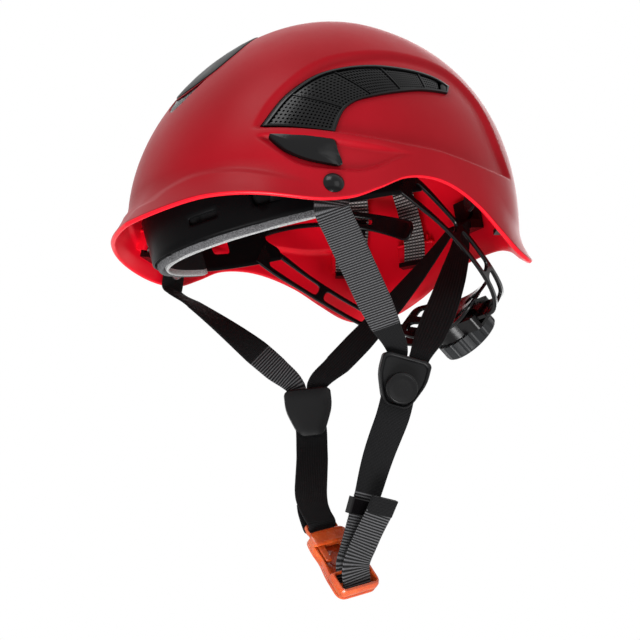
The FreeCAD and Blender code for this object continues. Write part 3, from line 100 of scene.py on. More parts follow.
def rim_level(y):
    return lookup(RIM_EDGE, y / np.where(y < 0, FRONT_REACH, REAR_REACH))


def beyond(p):
    """How far points lie outside the shell's outer face, along their level."""
    rise = np.clip((p[:, 2] - BROW_LEVEL) / DOME_HEIGHT, 0, 1)
    dx = np.abs(p[:, 0])
    dy = p[:, 1] - (1.8 * rise + 12.7 * rise ** 2 - 1.4)
    angle = np.arctan2(dx, -dy)
    front = np.maximum(np.cos(angle), 0) ** 2
    rear = np.maximum(-np.cos(angle), 0) ** 2
    side = 1 - front - rear
    reach = np.where(dy < 0, FRONT_REACH, REAR_REACH)
    power = np.where(dy < 0, 2.1, 2.3)
    across = np.abs(np.sin(angle)) / (DOME_WIDTH / 2)
    along = np.abs(np.cos(angle)) / reach
    radius = (across ** power + along ** power) ** (-1 / power)
    shoulder = 1.76 * front + 2.36 * side + 2.08 * rear
    fullness = 2.04 * front + 1.965 * side + 1.944 * rear
    radius = radius * (1 - rise ** shoulder) ** (1 / fullness)
    drop = (rim_level(p[:, 1]) + BRIM_HEIGHT - p[:, 2]) / BRIM_HEIGHT
    growth = np.where(drop < 1, np.maximum(drop, 0) ** 1.8, 1 + 1.8 * (drop - 1))
    radius = radius + lookup(RIM_FLARE, np.degrees(angle)) * growth
    return np.hypot(dx, dy) - radius


def outward(p):
    """Outward normals of the shell at points of its outer face."""
    h = 0.25
    slope = [beyond(p + s) - beyond(p - s) for s in np.eye(3) * h]
    n = np.stack(slope, axis=1)
    return n / np.linalg.norm(n, axis=1, keepdims=True)


def dome_hit(start, rays):
    """Where lines from inside the dome leave it."""
    near = np.zeros(len(rays))
    far = np.full(len(rays), 320.0)
    for _ in range(34):
        middle = (near + far) / 2
        inside = beyond(start + rays * middle[:, None]) < 0
        near = np.where(inside, middle, near)
        far = np.where(inside, far, middle)
    return start + rays * near[:, None]


def side_points(y, z):
    """Points on the left side of the shell, found along X."""
    start = np.stack([np.zeros_like(y), y, z], axis=1)
    return dome_hit(start, np.tile([1.0, 0, 0], (len(y), 1)))


def smooth(t):
    t = np.clip(t, 0, 1)
    return t * t * (3 - 2 * t)


def spline(points, count):
    """Points evenly spread along a smooth curve through the given ones."""
    p = np.array(points, float)
    d = np.r_[0, np.cumsum(np.linalg.norm(np.diff(p, axis=0), axis=1))]
    t = np.linspace(0, d[-1], count)
    out = [lookup(list(zip(d, p[:, k])), t) for k in range(p.shape[1])]
    return np.stack(out, axis=1)


def distance_to(line, q):
    """Distance of 2-D points to a polyline."""
    a, b = line[:-1], line[1:]
    best = np.full(len(q), 1e9)
    for s, e in zip(a, b):
        d = e - s
        t = np.clip(((q - s) @ d) / max(d @ d, 1e-9), 0, 1)
        best = np.minimum(best, np.linalg.norm(q - s - t[:, None] * d, axis=1))
    return best


def inside_of(poly, q):
    """Whether 2-D points lie inside a polygon."""
    result = np.zeros(len(q), bool)
    x, y = q[:, 0], q[:, 1]
    for (x0, y0), (x1, y1) in zip(poly, np.roll(poly, -1, axis=0)):
        cross = (y0 > y) != (y1 > y)
        at = x0 + (y - y0) * (x1 - x0) / (y1 - y0 if y1 != y0 else 1e-9)
        result ^= cross & (x < at)
    return result


# ---------------------------------------------------- relief of the shell side
# Side-view outlines in millimetres, (y, z).
PANEL_TOP = spline([(-93.5, 78.5), (-90, 88), (-84.5, 98.5), (-75.5, 110.5), (-62.5, 123.5),
                    (-45.6, 134.0), (-19.6, 142.8), (3, 147.6), (28.4, 149.5),
                    (47, 146), (64, 132), (78, 100.2), (90, 83.2)], 90)
RIDGE = spline([(-93.5, 78.5), (-87.7, 79.1), (-50.5, 76.9), (-14.5, 76.2), (14.4, 77.8),
                (30.4, 77.6), (58.5, 78.3), (90.0, 83.2)], 60)
LOWER = spline([(-93.5, 78.5), (-88.1, 71.5), (-78.3, 61.2), (-71.5, 56.9),
                (-61.7, 55.0), (-40.2, 55.6), (-28.2, 60.0), (-15, 67.5), (2, 74.0)], 60)
BRIM_CREASE = [(-125, 49.5), (-121, 54.3), (-114, 58.2), (-101, 57.6), (-85, 53.3), (-60, 47.0)]
PANEL_DEPTH = 3.2          # the panel round the grille, below the plain dome
POCKET_DEPTH = 2.9         # the hollow under the ridge
BRIM_SWELL = 1.3


def relief(p):
    """Depth of the moulded recesses below the plain dome, at its points."""
    q = p[:, 1:]
    depth = np.zeros(len(p))
    panel = inside_of(np.vstack([PANEL_TOP, RIDGE[::-1]]), q)
    top = distance_to(PANEL_TOP, q)
    ridge = distance_to(RIDGE, q)
    depth += panel * PANEL_DEPTH * smooth(top / 6.0) * smooth((ridge - 1.0) / 2.8)
    under = inside_of(np.vstack([RIDGE[RIDGE[:, 0] < 4], LOWER[::-1]]), q)
    low = distance_to(LOWER, q)
    fade = smooth((2 - q[:, 0]) / 45.0)
    depth += under * POCKET_DEPTH * smooth((ridge - 2.6) / 2.4) * smooth(low / 2.6) * fade
    return depth


def brim_swell(p):
    """How far the front brim stands out below its crease."""
    line = lookup(BRIM_CREASE, p[:, 1])
    return BRIM_SWELL * smooth((line - p[:, 2]) / 5.0) * smooth((-62 - p[:, 1]) / 30.0)


# ------------------------------------------------------------- mesh building
def new_object(name, verts, faces, materials=(), index=None, sharp=35.0):
    """A mesh in millimetres, made into metres, shaded smooth up to an angle."""
    mesh = bpy.data.meshes.new(name)
    mesh.from_pydata([tuple(v) for v in np.asarray(verts, float) * MM], [], faces)
    mesh.validate()
    for m in materials:
        mesh.materials.append(m)
    if index is not None:
        mesh.polygons.foreach_set("material_index", np.asarray(index, np.int32))
    obj = bpy.data.objects.new(name, mesh)
    bpy.context.collection.objects.link(obj)
    if sharp:
        mesh.shade_smooth()
        mesh.set_sharp_from_angle(angle=math.radians(sharp))
    return obj


def faced_outwards(obj):
    """The object with all its faces turned outwards."""
    work = bmesh.new()
    work.from_mesh(obj.data)
    bmesh.ops.recalc_face_normals(work, faces=work.faces)
    work.to_mesh(obj.data)
    work.free()
    return obj


def applied(obj):
    """The object with its modifiers worked into its mesh."""
    graph = bpy.context.evaluated_depsgraph_get()
    mesh = bpy.data.meshes.new_from_object(obj.evaluated_get(graph))
    obj.modifiers.clear()
    obj.data = mesh
    return obj


def grid_faces(rows, columns, closed=False, start=0):
    faces = []
    wide = columns if closed else columns - 1
    for i in range(rows - 1):
        for j in range(wide):
            a = start + i * columns + j
            b = start + i * columns + (j + 1) % columns
            faces.append((a, b, b + columns, a + columns))
    return faces


def tube_faces(rows, columns):
    """Faces of rings of vertices, with both ends closed."""
    ends = [tuple(range(columns))[::-1], tuple(range((rows - 1) * columns, rows * columns))]
    return grid_faces(rows, columns, True) + ends


def circle(x, y, radius, count):
    a = np.linspace(0, 2 * math.pi, count, endpoint=False)
    return np.stack([x + radius * np.cos(a), y + radius * np.sin(a)], axis=1)


def put(obj, body, slot, *nodes):
    """Give a piece the body it rides on and hide the nodes it replaces; slot is not used."""
    if body:
        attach(obj, body)
    if nodes:
        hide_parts(*nodes)
    return obj


# ----------------------------------------------------------------- materials
def srgb(r, g, b):
    def one(c):
        c /= 255.0
        return c / 12.92 if c <= 0.04045 else ((c + 0.055) / 1.055) ** 2.4
    return (one(r), one(g), one(b), 1.0)


class Paint:
    """A node material under construction."""

    def __init__(self, name):
        self.mat = bpy.data.materials.new(name)
        self.mat.use_nodes = True
        self.tree = self.mat.node_tree
        self.shader = self.tree.nodes["Principled BSDF"]
        self.where = self.node("ShaderNodeTexCoord").outputs["Object"]

    def node(self, kind, **values):
        n = self.tree.nodes.new(kind)
        for key, value in values.items():
            setattr(n, key, value)
        return n

    def link(self, a, b):
        self.tree.links.new(a, b)

    def noise(self, scale, detail=3.0, roughness=0.55, where=None):
        n = self.node("ShaderNodeTexNoise")
        n.inputs["Scale"].default_value = scale
        n.inputs["Detail"].default_value = detail
        n.inputs["Roughness"].default_value = roughness
        self.link(where or self.where, n.inputs["Vector"])
        return n.outputs["Fac"]

    def math(self, kind, a, b=None, clamp=False):
        n = self.node("ShaderNodeMath", operation=kind, use_clamp=clamp)
        for socket, value in zip(n.inputs, (a, b)):
            if value is None:
                continue
            if isinstance(value, (int, float)):
                socket.default_value = value
            else:
                self.link(value, socket)
        return n.outputs[0]

    def spread(self, value, low, high, low_from=0.0, high_from=1.0):
        n = self.node("ShaderNodeMapRange")
        self.link(value, n.inputs["Value"])
        n.inputs["From Min"].default_value = low_from
        n.inputs["From Max"].default_value = high_from
        n.inputs["To Min"].default_value = low
        n.inputs["To Max"].default_value = high
        return n.outputs["Result"]

    def mixed(self, factor, a, b):
        n = self.node("ShaderNodeMix", data_type="RGBA")
        self.link(factor, n.inputs["Factor"])
        for socket, value in ((n.inputs[6], a), (n.inputs[7], b)):
            if isinstance(value, tuple):
                socket.default_value = value
            else:
                self.link(value, socket)
        return n.outputs[2]

    def bump(self, height, depth, before=None):
        n = self.node("ShaderNodeBump")
        n.inputs["Strength"].default_value = 1.0
        n.inputs["Distance"].default_value = depth
        self.link(height, n.inputs["Height"])
        if before is not None:
            self.link(before, n.inputs["Normal"])
        return n.outputs["Normal"]

    def finish(self, colour, rough, normal=None, **constants):
        self.link(colour, self.shader.inputs["Base Color"])
        if isinstance(rough, float):
            self.shader.inputs["Roughness"].default_value = rough
        else:
            self.link(rough, self.shader.inputs["Roughness"])
        if normal is not None:
            self.link(normal, self.shader.inputs["Normal"])
        for key, value in constants.items():
            self.shader.inputs[key.replace("_", " ")].default_value = value
        return self.mat


def moulded(name, dark, light, rough, grain=900.0, depth=0.00004, spread=0.06, **constants):
    """Moulded plastic: soft colour drift, fine grain and rubbed patches."""
    p = Paint(name)
    drift = p.spread(p.noise(18.0, 4.0), 0.0, 1.0, 0.3, 0.7)
    speck = p.noise(grain, 2.0)
    colour = p.mixed(drift, dark, light)
    worn = p.spread(p.noise(55.0, 5.0), rough - spread, rough + spread, 0.3, 0.7)
    return p.finish(colour, worn, p.bump(speck, depth), **constants)


def webbing(name, dark, light, pitch, across, sheen=0.3):
    """Woven band: UV x across in mm, y along in mm."""
    p = Paint(name)
    split = p.node("ShaderNodeSeparateXYZ")
    p.link(p.node("ShaderNodeUVMap").outputs["UV"], split.inputs[0])
    u, v = split.outputs["X"], split.outputs["Y"]
    weft = p.math("MULTIPLY", p.math("COSINE", p.math("MULTIPLY", v, 2 * math.pi / pitch)), -1.0)
    warp = p.math("SINE", p.math("MULTIPLY", u, 2 * math.pi / across))
    weave = p.math("MULTIPLY", weft, warp)
    fibre = p.noise(2600.0, 2.0)
    height = p.math("ADD", p.math("MULTIPLY", weft, 0.6), p.math("MULTIPLY", weave, 0.5))
    # The colour follows the weave's height: raised crests painted lighter and hollows darker, a
    # painted highlight and shade on the ribs; the fibre noise adds random tone.
    tone = p.spread(p.math("ADD", height, p.math("MULTIPLY", fibre, 0.9)), 0.0, 1.0, 0.2, 1.4)
    colour = p.mixed(tone, dark, light)
    normal = p.bump(height, 0.00012, p.bump(fibre, 0.00005))
    return p.finish(colour, 0.8, normal, Sheen_Weight=sheen, Sheen_Roughness=0.5,
                    Specular_IOR_Level=0.08)


RED = moulded("shell_red", srgb(158, 11, 25), srgb(168, 16, 31), 0.37, 1400.0, 0.00002, 0.03,
              Specular_IOR_Level=0.09)
# Brighter, more saturated red for the inside and the rim lip: partly the bare plastic's own
# colour, partly painted light, the glow of light bounced round inside the shell and caught on the
# rim's edge.
RED_INSIDE_PAINTED_LIGHT = moulded("shell_red_inside_painted_light", srgb(222, 6, 30), srgb(232, 12, 36), 0.34, 1100.0,
                     0.00002, 0.03, Specular_IOR_Level=0.25)
BLACK = moulded("trim_black", srgb(7, 7, 8), srgb(12, 12, 13), 0.2, 900.0, 0.00003, 0.04,
                Specular_IOR_Level=0.2)
# Near-black and matte, without reflection: painted shade for the hole walls and the grille's
# closed back, standing for the shadow inside the holes.
VENT_PAINTED_SHADE = moulded("vent_hole_painted_shade", srgb(2, 2, 2), srgb(4, 4, 4), 0.8, Specular_IOR_Level=0.02)
# A darker, duller copy of the harness black: painted shade for the shadow the shell casts on the
# headband.
BAND_PAINTED_SHADE = moulded("headband_black_painted_shade", srgb(4, 4, 5), srgb(8, 8, 9), 0.4, Specular_IOR_Level=0.06)
GLOSS = moulded("harness_black", srgb(7, 6, 7), srgb(12, 11, 12), 0.22, 700.0, 0.00003, 0.05,
                Specular_IOR_Level=0.24)
SATIN = moulded("button_black", srgb(11, 11, 12), srgb(18, 18, 19), 0.42, 1800.0, 0.00005,
                Specular_IOR_Level=0.18)
LENS = moulded("badge_grey", srgb(20, 20, 21), srgb(28, 28, 29), 0.42, 1600.0, 0.00003,
               Specular_IOR_Level=0.12)
GRIP = moulded("knob_grey", srgb(22, 23, 25), srgb(36, 38, 40), 0.45, 1500.0, 0.00008,
               Specular_IOR_Level=0.28)
GEAR = moulded("gear_grey", srgb(104, 104, 108), srgb(118, 118, 121), 0.4)


# ----------------------------------------------------------------- the shell
COLUMNS, ROWS, LIP = 660, 215, 7
LIP_DROP = 1.2
SHELL_SHARP = 62


def build_shell():
    turn = np.linspace(0, 2 * math.pi, COLUMNS, endpoint=False)

    def rays(tilt):
        return np.stack([np.sin(turn) * np.cos(tilt), -np.cos(turn) * np.cos(tilt),
                         np.sin(tilt)], axis=1)

    low = np.full(COLUMNS, 0.1)
    high = np.full(COLUMNS, 1.45)
    for _ in range(26):
        middle = (low + high) / 2
        hit = dome_hit(HUB, rays(middle))
        above = hit[:, 2] > rim_level(hit[:, 1]) + LIP_DROP
        high = np.where(above, middle, high)
        low = np.where(above, low, middle)
    rim = high
    outer, inner = [], []
    for i in range(ROWS):
        t = i / ROWS
        hit = dome_hit(HUB, rays(rim + (math.pi / 2 - rim) * t))
        n = outward(hit)
        face = hit + n * (brim_swell(hit) - relief(hit))[:, None]
        outer.append(face)
        inner.append(face - n * WALL)
    n = outward(dome_hit(HUB, rays(rim)))
    down = outer[0] - outer[1]
    down /= np.linalg.norm(down, axis=1, keepdims=True)
    centre = (outer[0] + inner[0]) / 2
    lip = []
    for k in range(1, LIP):
        a = math.pi * k / LIP
        lip.append(centre + n * (WALL / 2 * math.cos(a)) + down * (LIP_DROP * math.sin(a)))
    crown = dome_hit(HUB, np.array([[0, 0, 1.0]]))[0]
    rings = outer[::-1] + lip + inner
    verts = np.vstack(rings + [crown[None], crown[None] - [[0, 0, WALL]]])
    faces = [f[::-1] for f in grid_faces(len(rings), COLUMNS, True)]
    last = len(verts)
    tail = (len(rings) - 1) * COLUMNS
    for j in range(COLUMNS):
        k = (j + 1) % COLUMNS
        faces.append((last - 2, j, k))
        faces.append((last - 1, tail + k, tail + j))
    inside_rows = len(rings) - 1 - ROWS
    # The outer rows take the outer red; the rim lip and the inside rows take the brighter red with
    # its painted light.
    index = [0] * (ROWS * COLUMNS) + [1] * (inside_rows * COLUMNS) + [0, 1] * COLUMNS
    shell = new_object("shell_moulding", verts, faces, (RED, RED_INSIDE_PAINTED_LIGHT), index, sharp=None)
    cutters = [side_cutter(GRILLE_EDGE, 1), side_cutter(GRILLE_EDGE, -1), scoop_cutter()]
    for number, cutter in enumerate(cutters):
        modifier = shell.modifiers.new("cut%d" % number, "BOOLEAN")
        modifier.object = cutter
        modifier.solver = "MANIFOLD"
    applied(shell)
    for cutter in cutters:
        bpy.data.objects.remove(cutter, do_unlink=True)
    shell.data.shade_smooth()
    shell.data.set_sharp_from_angle(angle=math.radians(SHELL_SHARP))
    return put(shell, "frame", "shell_red", "shell")


def prism(name, outline, axis, near, far):
    """A closed prism of a 2-D outline; axis 0 spans X, axis 1 spans Y."""
    count = len(outline)
    verts = []
    for depth in (near, far):
        for a, b in outline:
            verts.append((depth, a, b) if axis == 0 else (a, depth, b))
    faces = [tuple(range(count)), tuple(range(2 * count - 1, count - 1, -1))]
    for i in range(count):
        j = (i + 1) % count
        faces.append((j, i, count + i, count + j))
    obj = new_object(name, verts, faces, (RED, RED_INSIDE_PAINTED_LIGHT), None, sharp=None)
    return faced_outwards(obj)


def side_cutter(outline, side):
    return prism("cutter", outline, 0, side * 30.0, side * 140.0)


def scoop_cutter():
    return prism("cutter", SCOOP_EDGE, 1, -45.0, -160.0)


def to_side(points):
    return [(float(station(np.float64(y))), float(level(z))) for y, z in points]


# Grille edges in (share of reach, share of height): outer, then inner.
GRILLE_OUTER = spline(to_side([(-0.735, 0.165), (-0.64, 0.30), (-0.56, 0.378), (-0.46, 0.448),
                               (-0.34, 0.496), (-0.20, 0.533), (-0.04, 0.558), (0.09, 0.573),
                               (0.20, 0.572), (0.288, 0.548)]), 120)
GRILLE_INNER = spline(to_side([(-0.435, 0.142), (-0.405, 0.215), (-0.37, 0.268), (-0.31, 0.313),
                               (-0.22, 0.350), (-0.07, 0.402), (0.06, 0.445), (0.15, 0.468),
                               (0.245, 0.488)]), 120)
GRILLE_EDGE = [tuple(q) for q in np.vstack([GRILLE_OUTER, GRILLE_INNER[::-1]])]
SCOOP_HALF = spline([(0, level(0.482)), (11, level(0.497)), (20, level(0.53))], 12)
SCOOP_UNDER = spline([(20, level(0.53)), (16, level(0.478)), (9, level(0.42)),
                      (0, level(0.388))], 14)
SCOOP_RIGHT = np.vstack([SCOOP_HALF, SCOOP_UNDER[1:]])
SCOOP_EDGE = [tuple(q) for q in SCOOP_RIGHT] + [(-q[0], q[1]) for q in SCOOP_RIGHT[-2:0:-1]]


# ------------------------------------------------------------ let-in pieces
def lifted(yz, lift, side):
    """Points of a side piece at a height off the dome, true in side view."""
    lift = np.asarray(lift)[:, None]
    base = yz
    for _ in range(3):
        p = side_points(base[:, 0], base[:, 1])
        base = yz - outward(p)[:, 1:] * lift
    p = side_points(base[:, 0], base[:, 1])
    p = p + outward(p) * lift
    p[:, 0] *= side
    return p


def grille_at(u, v):
    """Side-view place at a share u along the grille and v across it."""
    k = np.clip(u, 0, 1) * (len(GRILLE_OUTER) - 1)
    i = np.minimum(k.astype(int), len(GRILLE_OUTER) - 2)
    t = (k - i)[:, None]
    a = GRILLE_INNER[i] * (1 - t) + GRILLE_INNER[i + 1] * t
    b = GRILLE_OUTER[i] * (1 - t) + GRILLE_OUTER[i + 1] * t
    return a * (1 - v[:, None]) + b * v[:, None]


GRILLE_FLOOR = -2.9        # the grille's face, from the plain dome
GRILLE_RUN = 125.0
GRILLE_STEPS = 60
GRILLE_RING = 4 * GRILLE_STEPS
GRILLE_END, GRILLE_SIDE = 0.022, 0.07
HOLE_TOP, HOLE_FLOOR = 0.35, -0.9
RIB_PLACES = (0.185, 0.40, 0.615, 0.815)
RIB_HALF, RIB_HEIGHT = 0.0045, 0.9
END_RIB, END_RIB_HALF = 0.972, 0.024
RIB_STEPS = 14
# Rings of the grille's frame: (distance inside its edge, height).
FRAME_RINGS = [(0.0, -1.2), (0.05, 0.4), (0.8, 1.5), (1.9, 1.6), (2.5, 0.9), (2.6, 0.1),
               (2.8, -1.4)]
# Perforated sections: (from, to, cells along, cells across, hole's share of a cell).
SECTIONS = [(0.0, 0.185, 9, 15, 0.29), (0.185, 0.40, 10, 13, 0.29), (0.40, 0.815, 27, 10, 0.36),
            (0.815, 0.945, 9, 7, 0.36)]


def loop_at(inset):
    """Points round the grille at a distance inside its edge."""
    t = np.linspace(0, 1, GRILLE_STEPS, endpoint=False)
    one = np.ones(GRILLE_STEPS)
    u = np.r_[t, one, 1 - t, 0 * one]
    v = np.r_[0 * one, t, one, 1 - t]
    wide = np.linalg.norm(grille_at(u, u * 0 + 1) - grille_at(u, u * 0), axis=1)
    a = inset / GRILLE_RUN
    b = inset / wide
    return grille_at(a + (1 - 2 * a) * u, b + (1 - 2 * b) * v)


def build_grille(side, name, node):
    verts, faces, shade_masks = [], [], []

    def add(points, new_faces, deep=None):
        base = sum(len(v) for v in verts)
        verts.append(points)
        shade_masks.append(np.zeros(len(points)) if deep is None else deep)
        faces.extend(tuple(base + k for k in f) for f in new_faces)

    def level_ring(inset, height):
        return lifted(loop_at(inset), np.full(GRILLE_RING, GRILLE_FLOOR + height), 1)

    rings = [level_ring(inset, height) for inset, height in FRAME_RINGS]
    add(np.vstack(rings), grid_faces(len(rings), GRILLE_RING, True))
    for section in SECTIONS:
        add(*perforated(*section))
    for u in RIB_PLACES:
        add(*rib(u, RIB_HALF))
    add(*rib(END_RIB, END_RIB_HALF))
    # The closed back behind the holes, all of it in the painted shade.
    add(level_ring(1.0, -1.3), [tuple(range(GRILLE_RING))], np.ones(GRILLE_RING))
    points = np.vstack(verts)
    points[:, 0] *= side
    if side < 0:
        faces = [f[::-1] for f in faces]
    deep = np.concatenate(shade_masks)
    # Faces with a marked vertex take the painted shade of the holes.
    index = [int(max(deep[list(f)]) > 0.5) for f in faces]
    obj = new_object(name, points, faces, (BLACK, VENT_PAINTED_SHADE), index, 40.0)
    return put(obj, "frame", "trim_black", node)


def perforated(low, high, along, wide, size):
    """A sheet of cells, each with an eight-sided hole that has walls."""
    index = {}
    places, heights, faces = [], [], []
    run = 1 - 2 * GRILLE_END
    first, last = GRILLE_END + low * run, GRILLE_END + high * run

    def vertex(a, b, h):
        key = (round(a, 4), round(b, 4), h)
        if key not in index:
            index[key] = len(places)
            u = first + (last - first) * a / along
            places.append((u, GRILLE_SIDE + (1 - 2 * GRILLE_SIDE) * b / wide))
            heights.append(h)
        return index[key]

    ring = [(1, 0), (1, 1), (0, 1), (-1, 1), (-1, 0), (-1, -1), (0, -1), (1, -1)]
    for i in range(along):
        for j in range(wide):
            a, b = i + 0.5, j + 0.5
            outer = [vertex(a + x / 2, b + y / 2, HOLE_TOP) for x, y in ring]
            hole, deep = [], []
            for x, y in ring:
                r = size / math.hypot(x, y)
                hole.append(vertex(a + x * r, b + y * r, HOLE_TOP))
                deep.append(vertex(a + x * r, b + y * r, HOLE_FLOOR))
            for k in range(8):
                m = (k + 1) % 8
                faces.append((outer[k], outer[m], hole[m], hole[k]))
                faces.append((hole[k], hole[m], deep[m], deep[k]))
    uv = np.array(places)
    heights = np.array(heights)
    points = lifted(grille_at(uv[:, 0], uv[:, 1]), GRILLE_FLOOR + heights, 1)
    # The hole walls below the sheet are marked for the painted shade.
    return points, faces, (heights < 0).astype(float)


def rib(u, half):
    """A raised bar across the grille."""
    v = np.linspace(0.03, 0.97, RIB_STEPS)
    points = []
    for share, height in ((-1, 0.1), (-0.6, RIB_HEIGHT), (0.6, RIB_HEIGHT), (1, 0.1)):
        row = grille_at(u + half * share + v * 0, v)
        points.append(lifted(row, np.full(RIB_STEPS, GRILLE_FLOOR + height), 1))
    return np.vstack(points), grid_faces(4, RIB_STEPS)


def dish(centre, outline, rings):
    """Rings of an outline shrunk to its centre: (share, height) each."""
    places, heights = [], []
    for share, height in rings:
        places.append(centre + (outline - centre) * share)
        heights.append(np.full(len(outline), height))
    return np.vstack(places), np.concatenate(heights)


def capped(count, rings):
    faces = grid_faces(rings, count, True)
    faces.append(tuple(range((rings - 1) * count, rings * count))[::-1])
    return faces


PLATE_EDGE = spline(to_side([(-0.722, 0.130), (-0.60, 0.121), (-0.49, 0.110), (-0.446, 0.102),
                             (-0.432, 0.055), (-0.412, -0.002), (-0.425, -0.012),
                             (-0.47, -0.010), (-0.575, 0.010), (-0.655, 0.050),
                             (-0.722, 0.130)]), 90)[:-1]


def build_plate(side, name, node):
    centre = np.array([-66.0, 66.5])
    rings = [(1.0, -2.6), (0.995, -0.9), (0.95, -0.15), (0.80, 0.15), (0.5, 0.3), (0.2, 0.4)]
    places, heights = dish(centre, PLATE_EDGE, rings)
    rear = smooth((-49.0 - places[:, 0]) / 5.5)
    heights = np.where(heights > -0.5, heights * rear - 1.5 * (1 - rear), heights)
    points = lifted(places, heights, side)
    faces = capped(len(PLATE_EDGE), len(rings))
    if side > 0:
        faces = [f[::-1] for f in faces]
    obj = new_object(name, points, faces, (BLACK,), None, 28.0)
    return put(obj, "frame", "trim_black", node)


def front_points(x, z):
    start = np.stack([x, np.zeros_like(x), z], axis=1)
    return dome_hit(start, np.tile([0, -1.0, 0], (len(x), 1)))


BADGE_HALF = spline([(0.0, level(0.860)), (7.5, level(0.849)), (14.0, level(0.817)),
                     (22.0, level(0.742)), (25.8, level(0.655)), (22.5, level(0.558)),
                     (12.0, level(0.508)), (0.0, level(0.492))], 60)
BADGE_EDGE = np.vstack([BADGE_HALF, BADGE_HALF[-2:0:-1] * [-1, 1]])


def build_badge():
    centre = np.array([0.0, level(0.67)])
    rings = [(1.03, -1.5), (1.0, -0.1), (0.985, 0.55), (0.95, 0.75), (0.7, 0.8), (0.4, 0.8),
             (0.15, 0.8)]
    places, heights = dish(centre, BADGE_EDGE, rings)
    p = front_points(places[:, 0], places[:, 1])
    p = p + outward(p) * heights[:, None]
    obj = new_object("badge_lens", p, capped(len(BADGE_EDGE), len(rings)), (LENS,), None, 30.0)
    return put(obj, "frame", "badge_grey", "front_badge")


SCOOP_HOLE, SCOOP_PITCH, SCOOP_ROW = 0.72, 2.6, 2.3


def build_scoop():
    """Perforated mesh that fills the scoop under the badge."""
    outline = np.array(SCOOP_EDGE)
    if area_of(outline) < 0:
        outline = outline[::-1]
    holes = []
    for i in range(-7, 8):
        for j in range(9):
            c = np.array([(i + (j % 2) / 2) * SCOOP_PITCH, level(0.40) + j * SCOOP_ROW])
            away = distance_to(closed(outline), c[None])[0]
            if inside_of(outline, c[None])[0] and away > 2.0:
                holes.append(circle(*c, SCOOP_HOLE, 8))

    def bend(q, depth):
        p = front_points(q[:, 0], q[:, 1])
        return p + outward(p) * depth[:, None]

    shape = sheet_solid(outline, holes, bend, -2.6, -0.7, 0.15, 1.6)
    made("scoop_grid", [shape], (BLACK,), "frame", "trim_black", "scoop_mesh")


# ------------------------------------------------------------ lights, camera
# Lamps: name, place in metres, size, power.
LAMPS = [("key", (0.45, -0.85, 1.3), 0.8, 11.0), ("fill", (1.5, 0.1, 0.3), 0.9, 4.6),
         ("low", (0.34, -0.34, -0.76), 0.4, 10.0), ("back", (-0.8, 1.1, 0.7), 1.0, 6.0)]
LAMP_AIM = (0, 0, 0.06)
WORLD_LIGHT = 0.42
FLOOR_SIZE, FLOOR_LEVEL = 8.0, -0.95
CAMERA_REACH, CAMERA_LENS = 0.95, 87.04
CAMERA_AZIMUTH, CAMERA_ELEVATION = math.radians(56.07), math.radians(-16.27)


def build_world():
    """Even pale light that looks white to the camera and in reflections."""
    world = bpy.data.worlds.new("studio")
    bpy.context.scene.world = world
    world.use_nodes = True
    nodes, links = world.node_tree.nodes, world.node_tree.links
    nodes.clear()
    path = nodes.new("ShaderNodeLightPath")
    seen = nodes.new("ShaderNodeMath")
    seen.operation = "MAXIMUM"
    both = nodes.new("ShaderNodeMath")
    both.operation = "MAXIMUM"
    links.new(path.outputs["Is Camera Ray"], seen.inputs[0])
    links.new(path.outputs["Is Glossy Ray"], seen.inputs[1])
    links.new(seen.outputs[0], both.inputs[0])
    links.new(path.outputs["Is Transmission Ray"], both.inputs[1])
    strength = nodes.new("ShaderNodeMapRange")
    links.new(both.outputs[0], strength.inputs["Value"])
    strength.inputs["To Min"].default_value = WORLD_LIGHT
    strength.inputs["To Max"].default_value = 1.0
    light = nodes.new("ShaderNodeBackground")
    light.inputs["Color"].default_value = (1, 1, 1, 1)
    links.new(strength.outputs["Result"], light.inputs["Strength"])
    out = nodes.new("ShaderNodeOutputWorld")
    links.new(light.outputs[0], out.inputs["Surface"])


def build_stage():
    build_world()
    for name, place, size, power in LAMPS:
        lamp = bpy.data.lights.new(name, "AREA")
        lamp.size = size
        lamp.energy = power
        obj = bpy.data.objects.new(name, lamp)
        obj.location = place
        aim = Vector(LAMP_AIM) - Vector(place)
        obj.rotation_euler = aim.to_track_quat("-Z", "Y").to_euler()
        bpy.context.collection.objects.link(obj)
    p = Paint("floor_pale")
    colour = p.mixed(p.noise(3.0), (0.93, 0.93, 0.92, 1), (0.96, 0.96, 0.95, 1))
    p.finish(colour, 0.8)
    bpy.ops.mesh.primitive_plane_add(size=FLOOR_SIZE, location=(0, 0, FLOOR_LEVEL))
    floor = bpy.context.object
    floor.name = "floor"
    floor.data.materials.append(p.mat)
    camera = bpy.data.objects.new("camera", bpy.data.cameras.new("camera"))
    camera.data.lens = CAMERA_LENS
    camera.data.clip_start = 0.05
    flat = CAMERA_REACH * math.cos(CAMERA_ELEVATION)
    camera.location = (flat * math.sin(CAMERA_AZIMUTH), -flat * math.cos(CAMERA_AZIMUTH),
                       CAMERA_REACH * math.sin(CAMERA_ELEVATION))
    camera.rotation_euler = (-camera.location).to_track_quat("-Z", "Y").to_euler()
    bpy.context.collection.objects.link(camera)
    bpy.context.scene.camera = camera
    bpy.context.scene.view_settings.view_transform = "Standard"


# ------------------------------------------------------------- swept pieces
def unit_rows(v):
    return v / np.linalg.norm(v, axis=-1, keepdims=True)


def along_path(points):
    d = np.linalg.norm(np.diff(points, axis=0), axis=1)
    return np.r_[0, np.cumsum(d)]


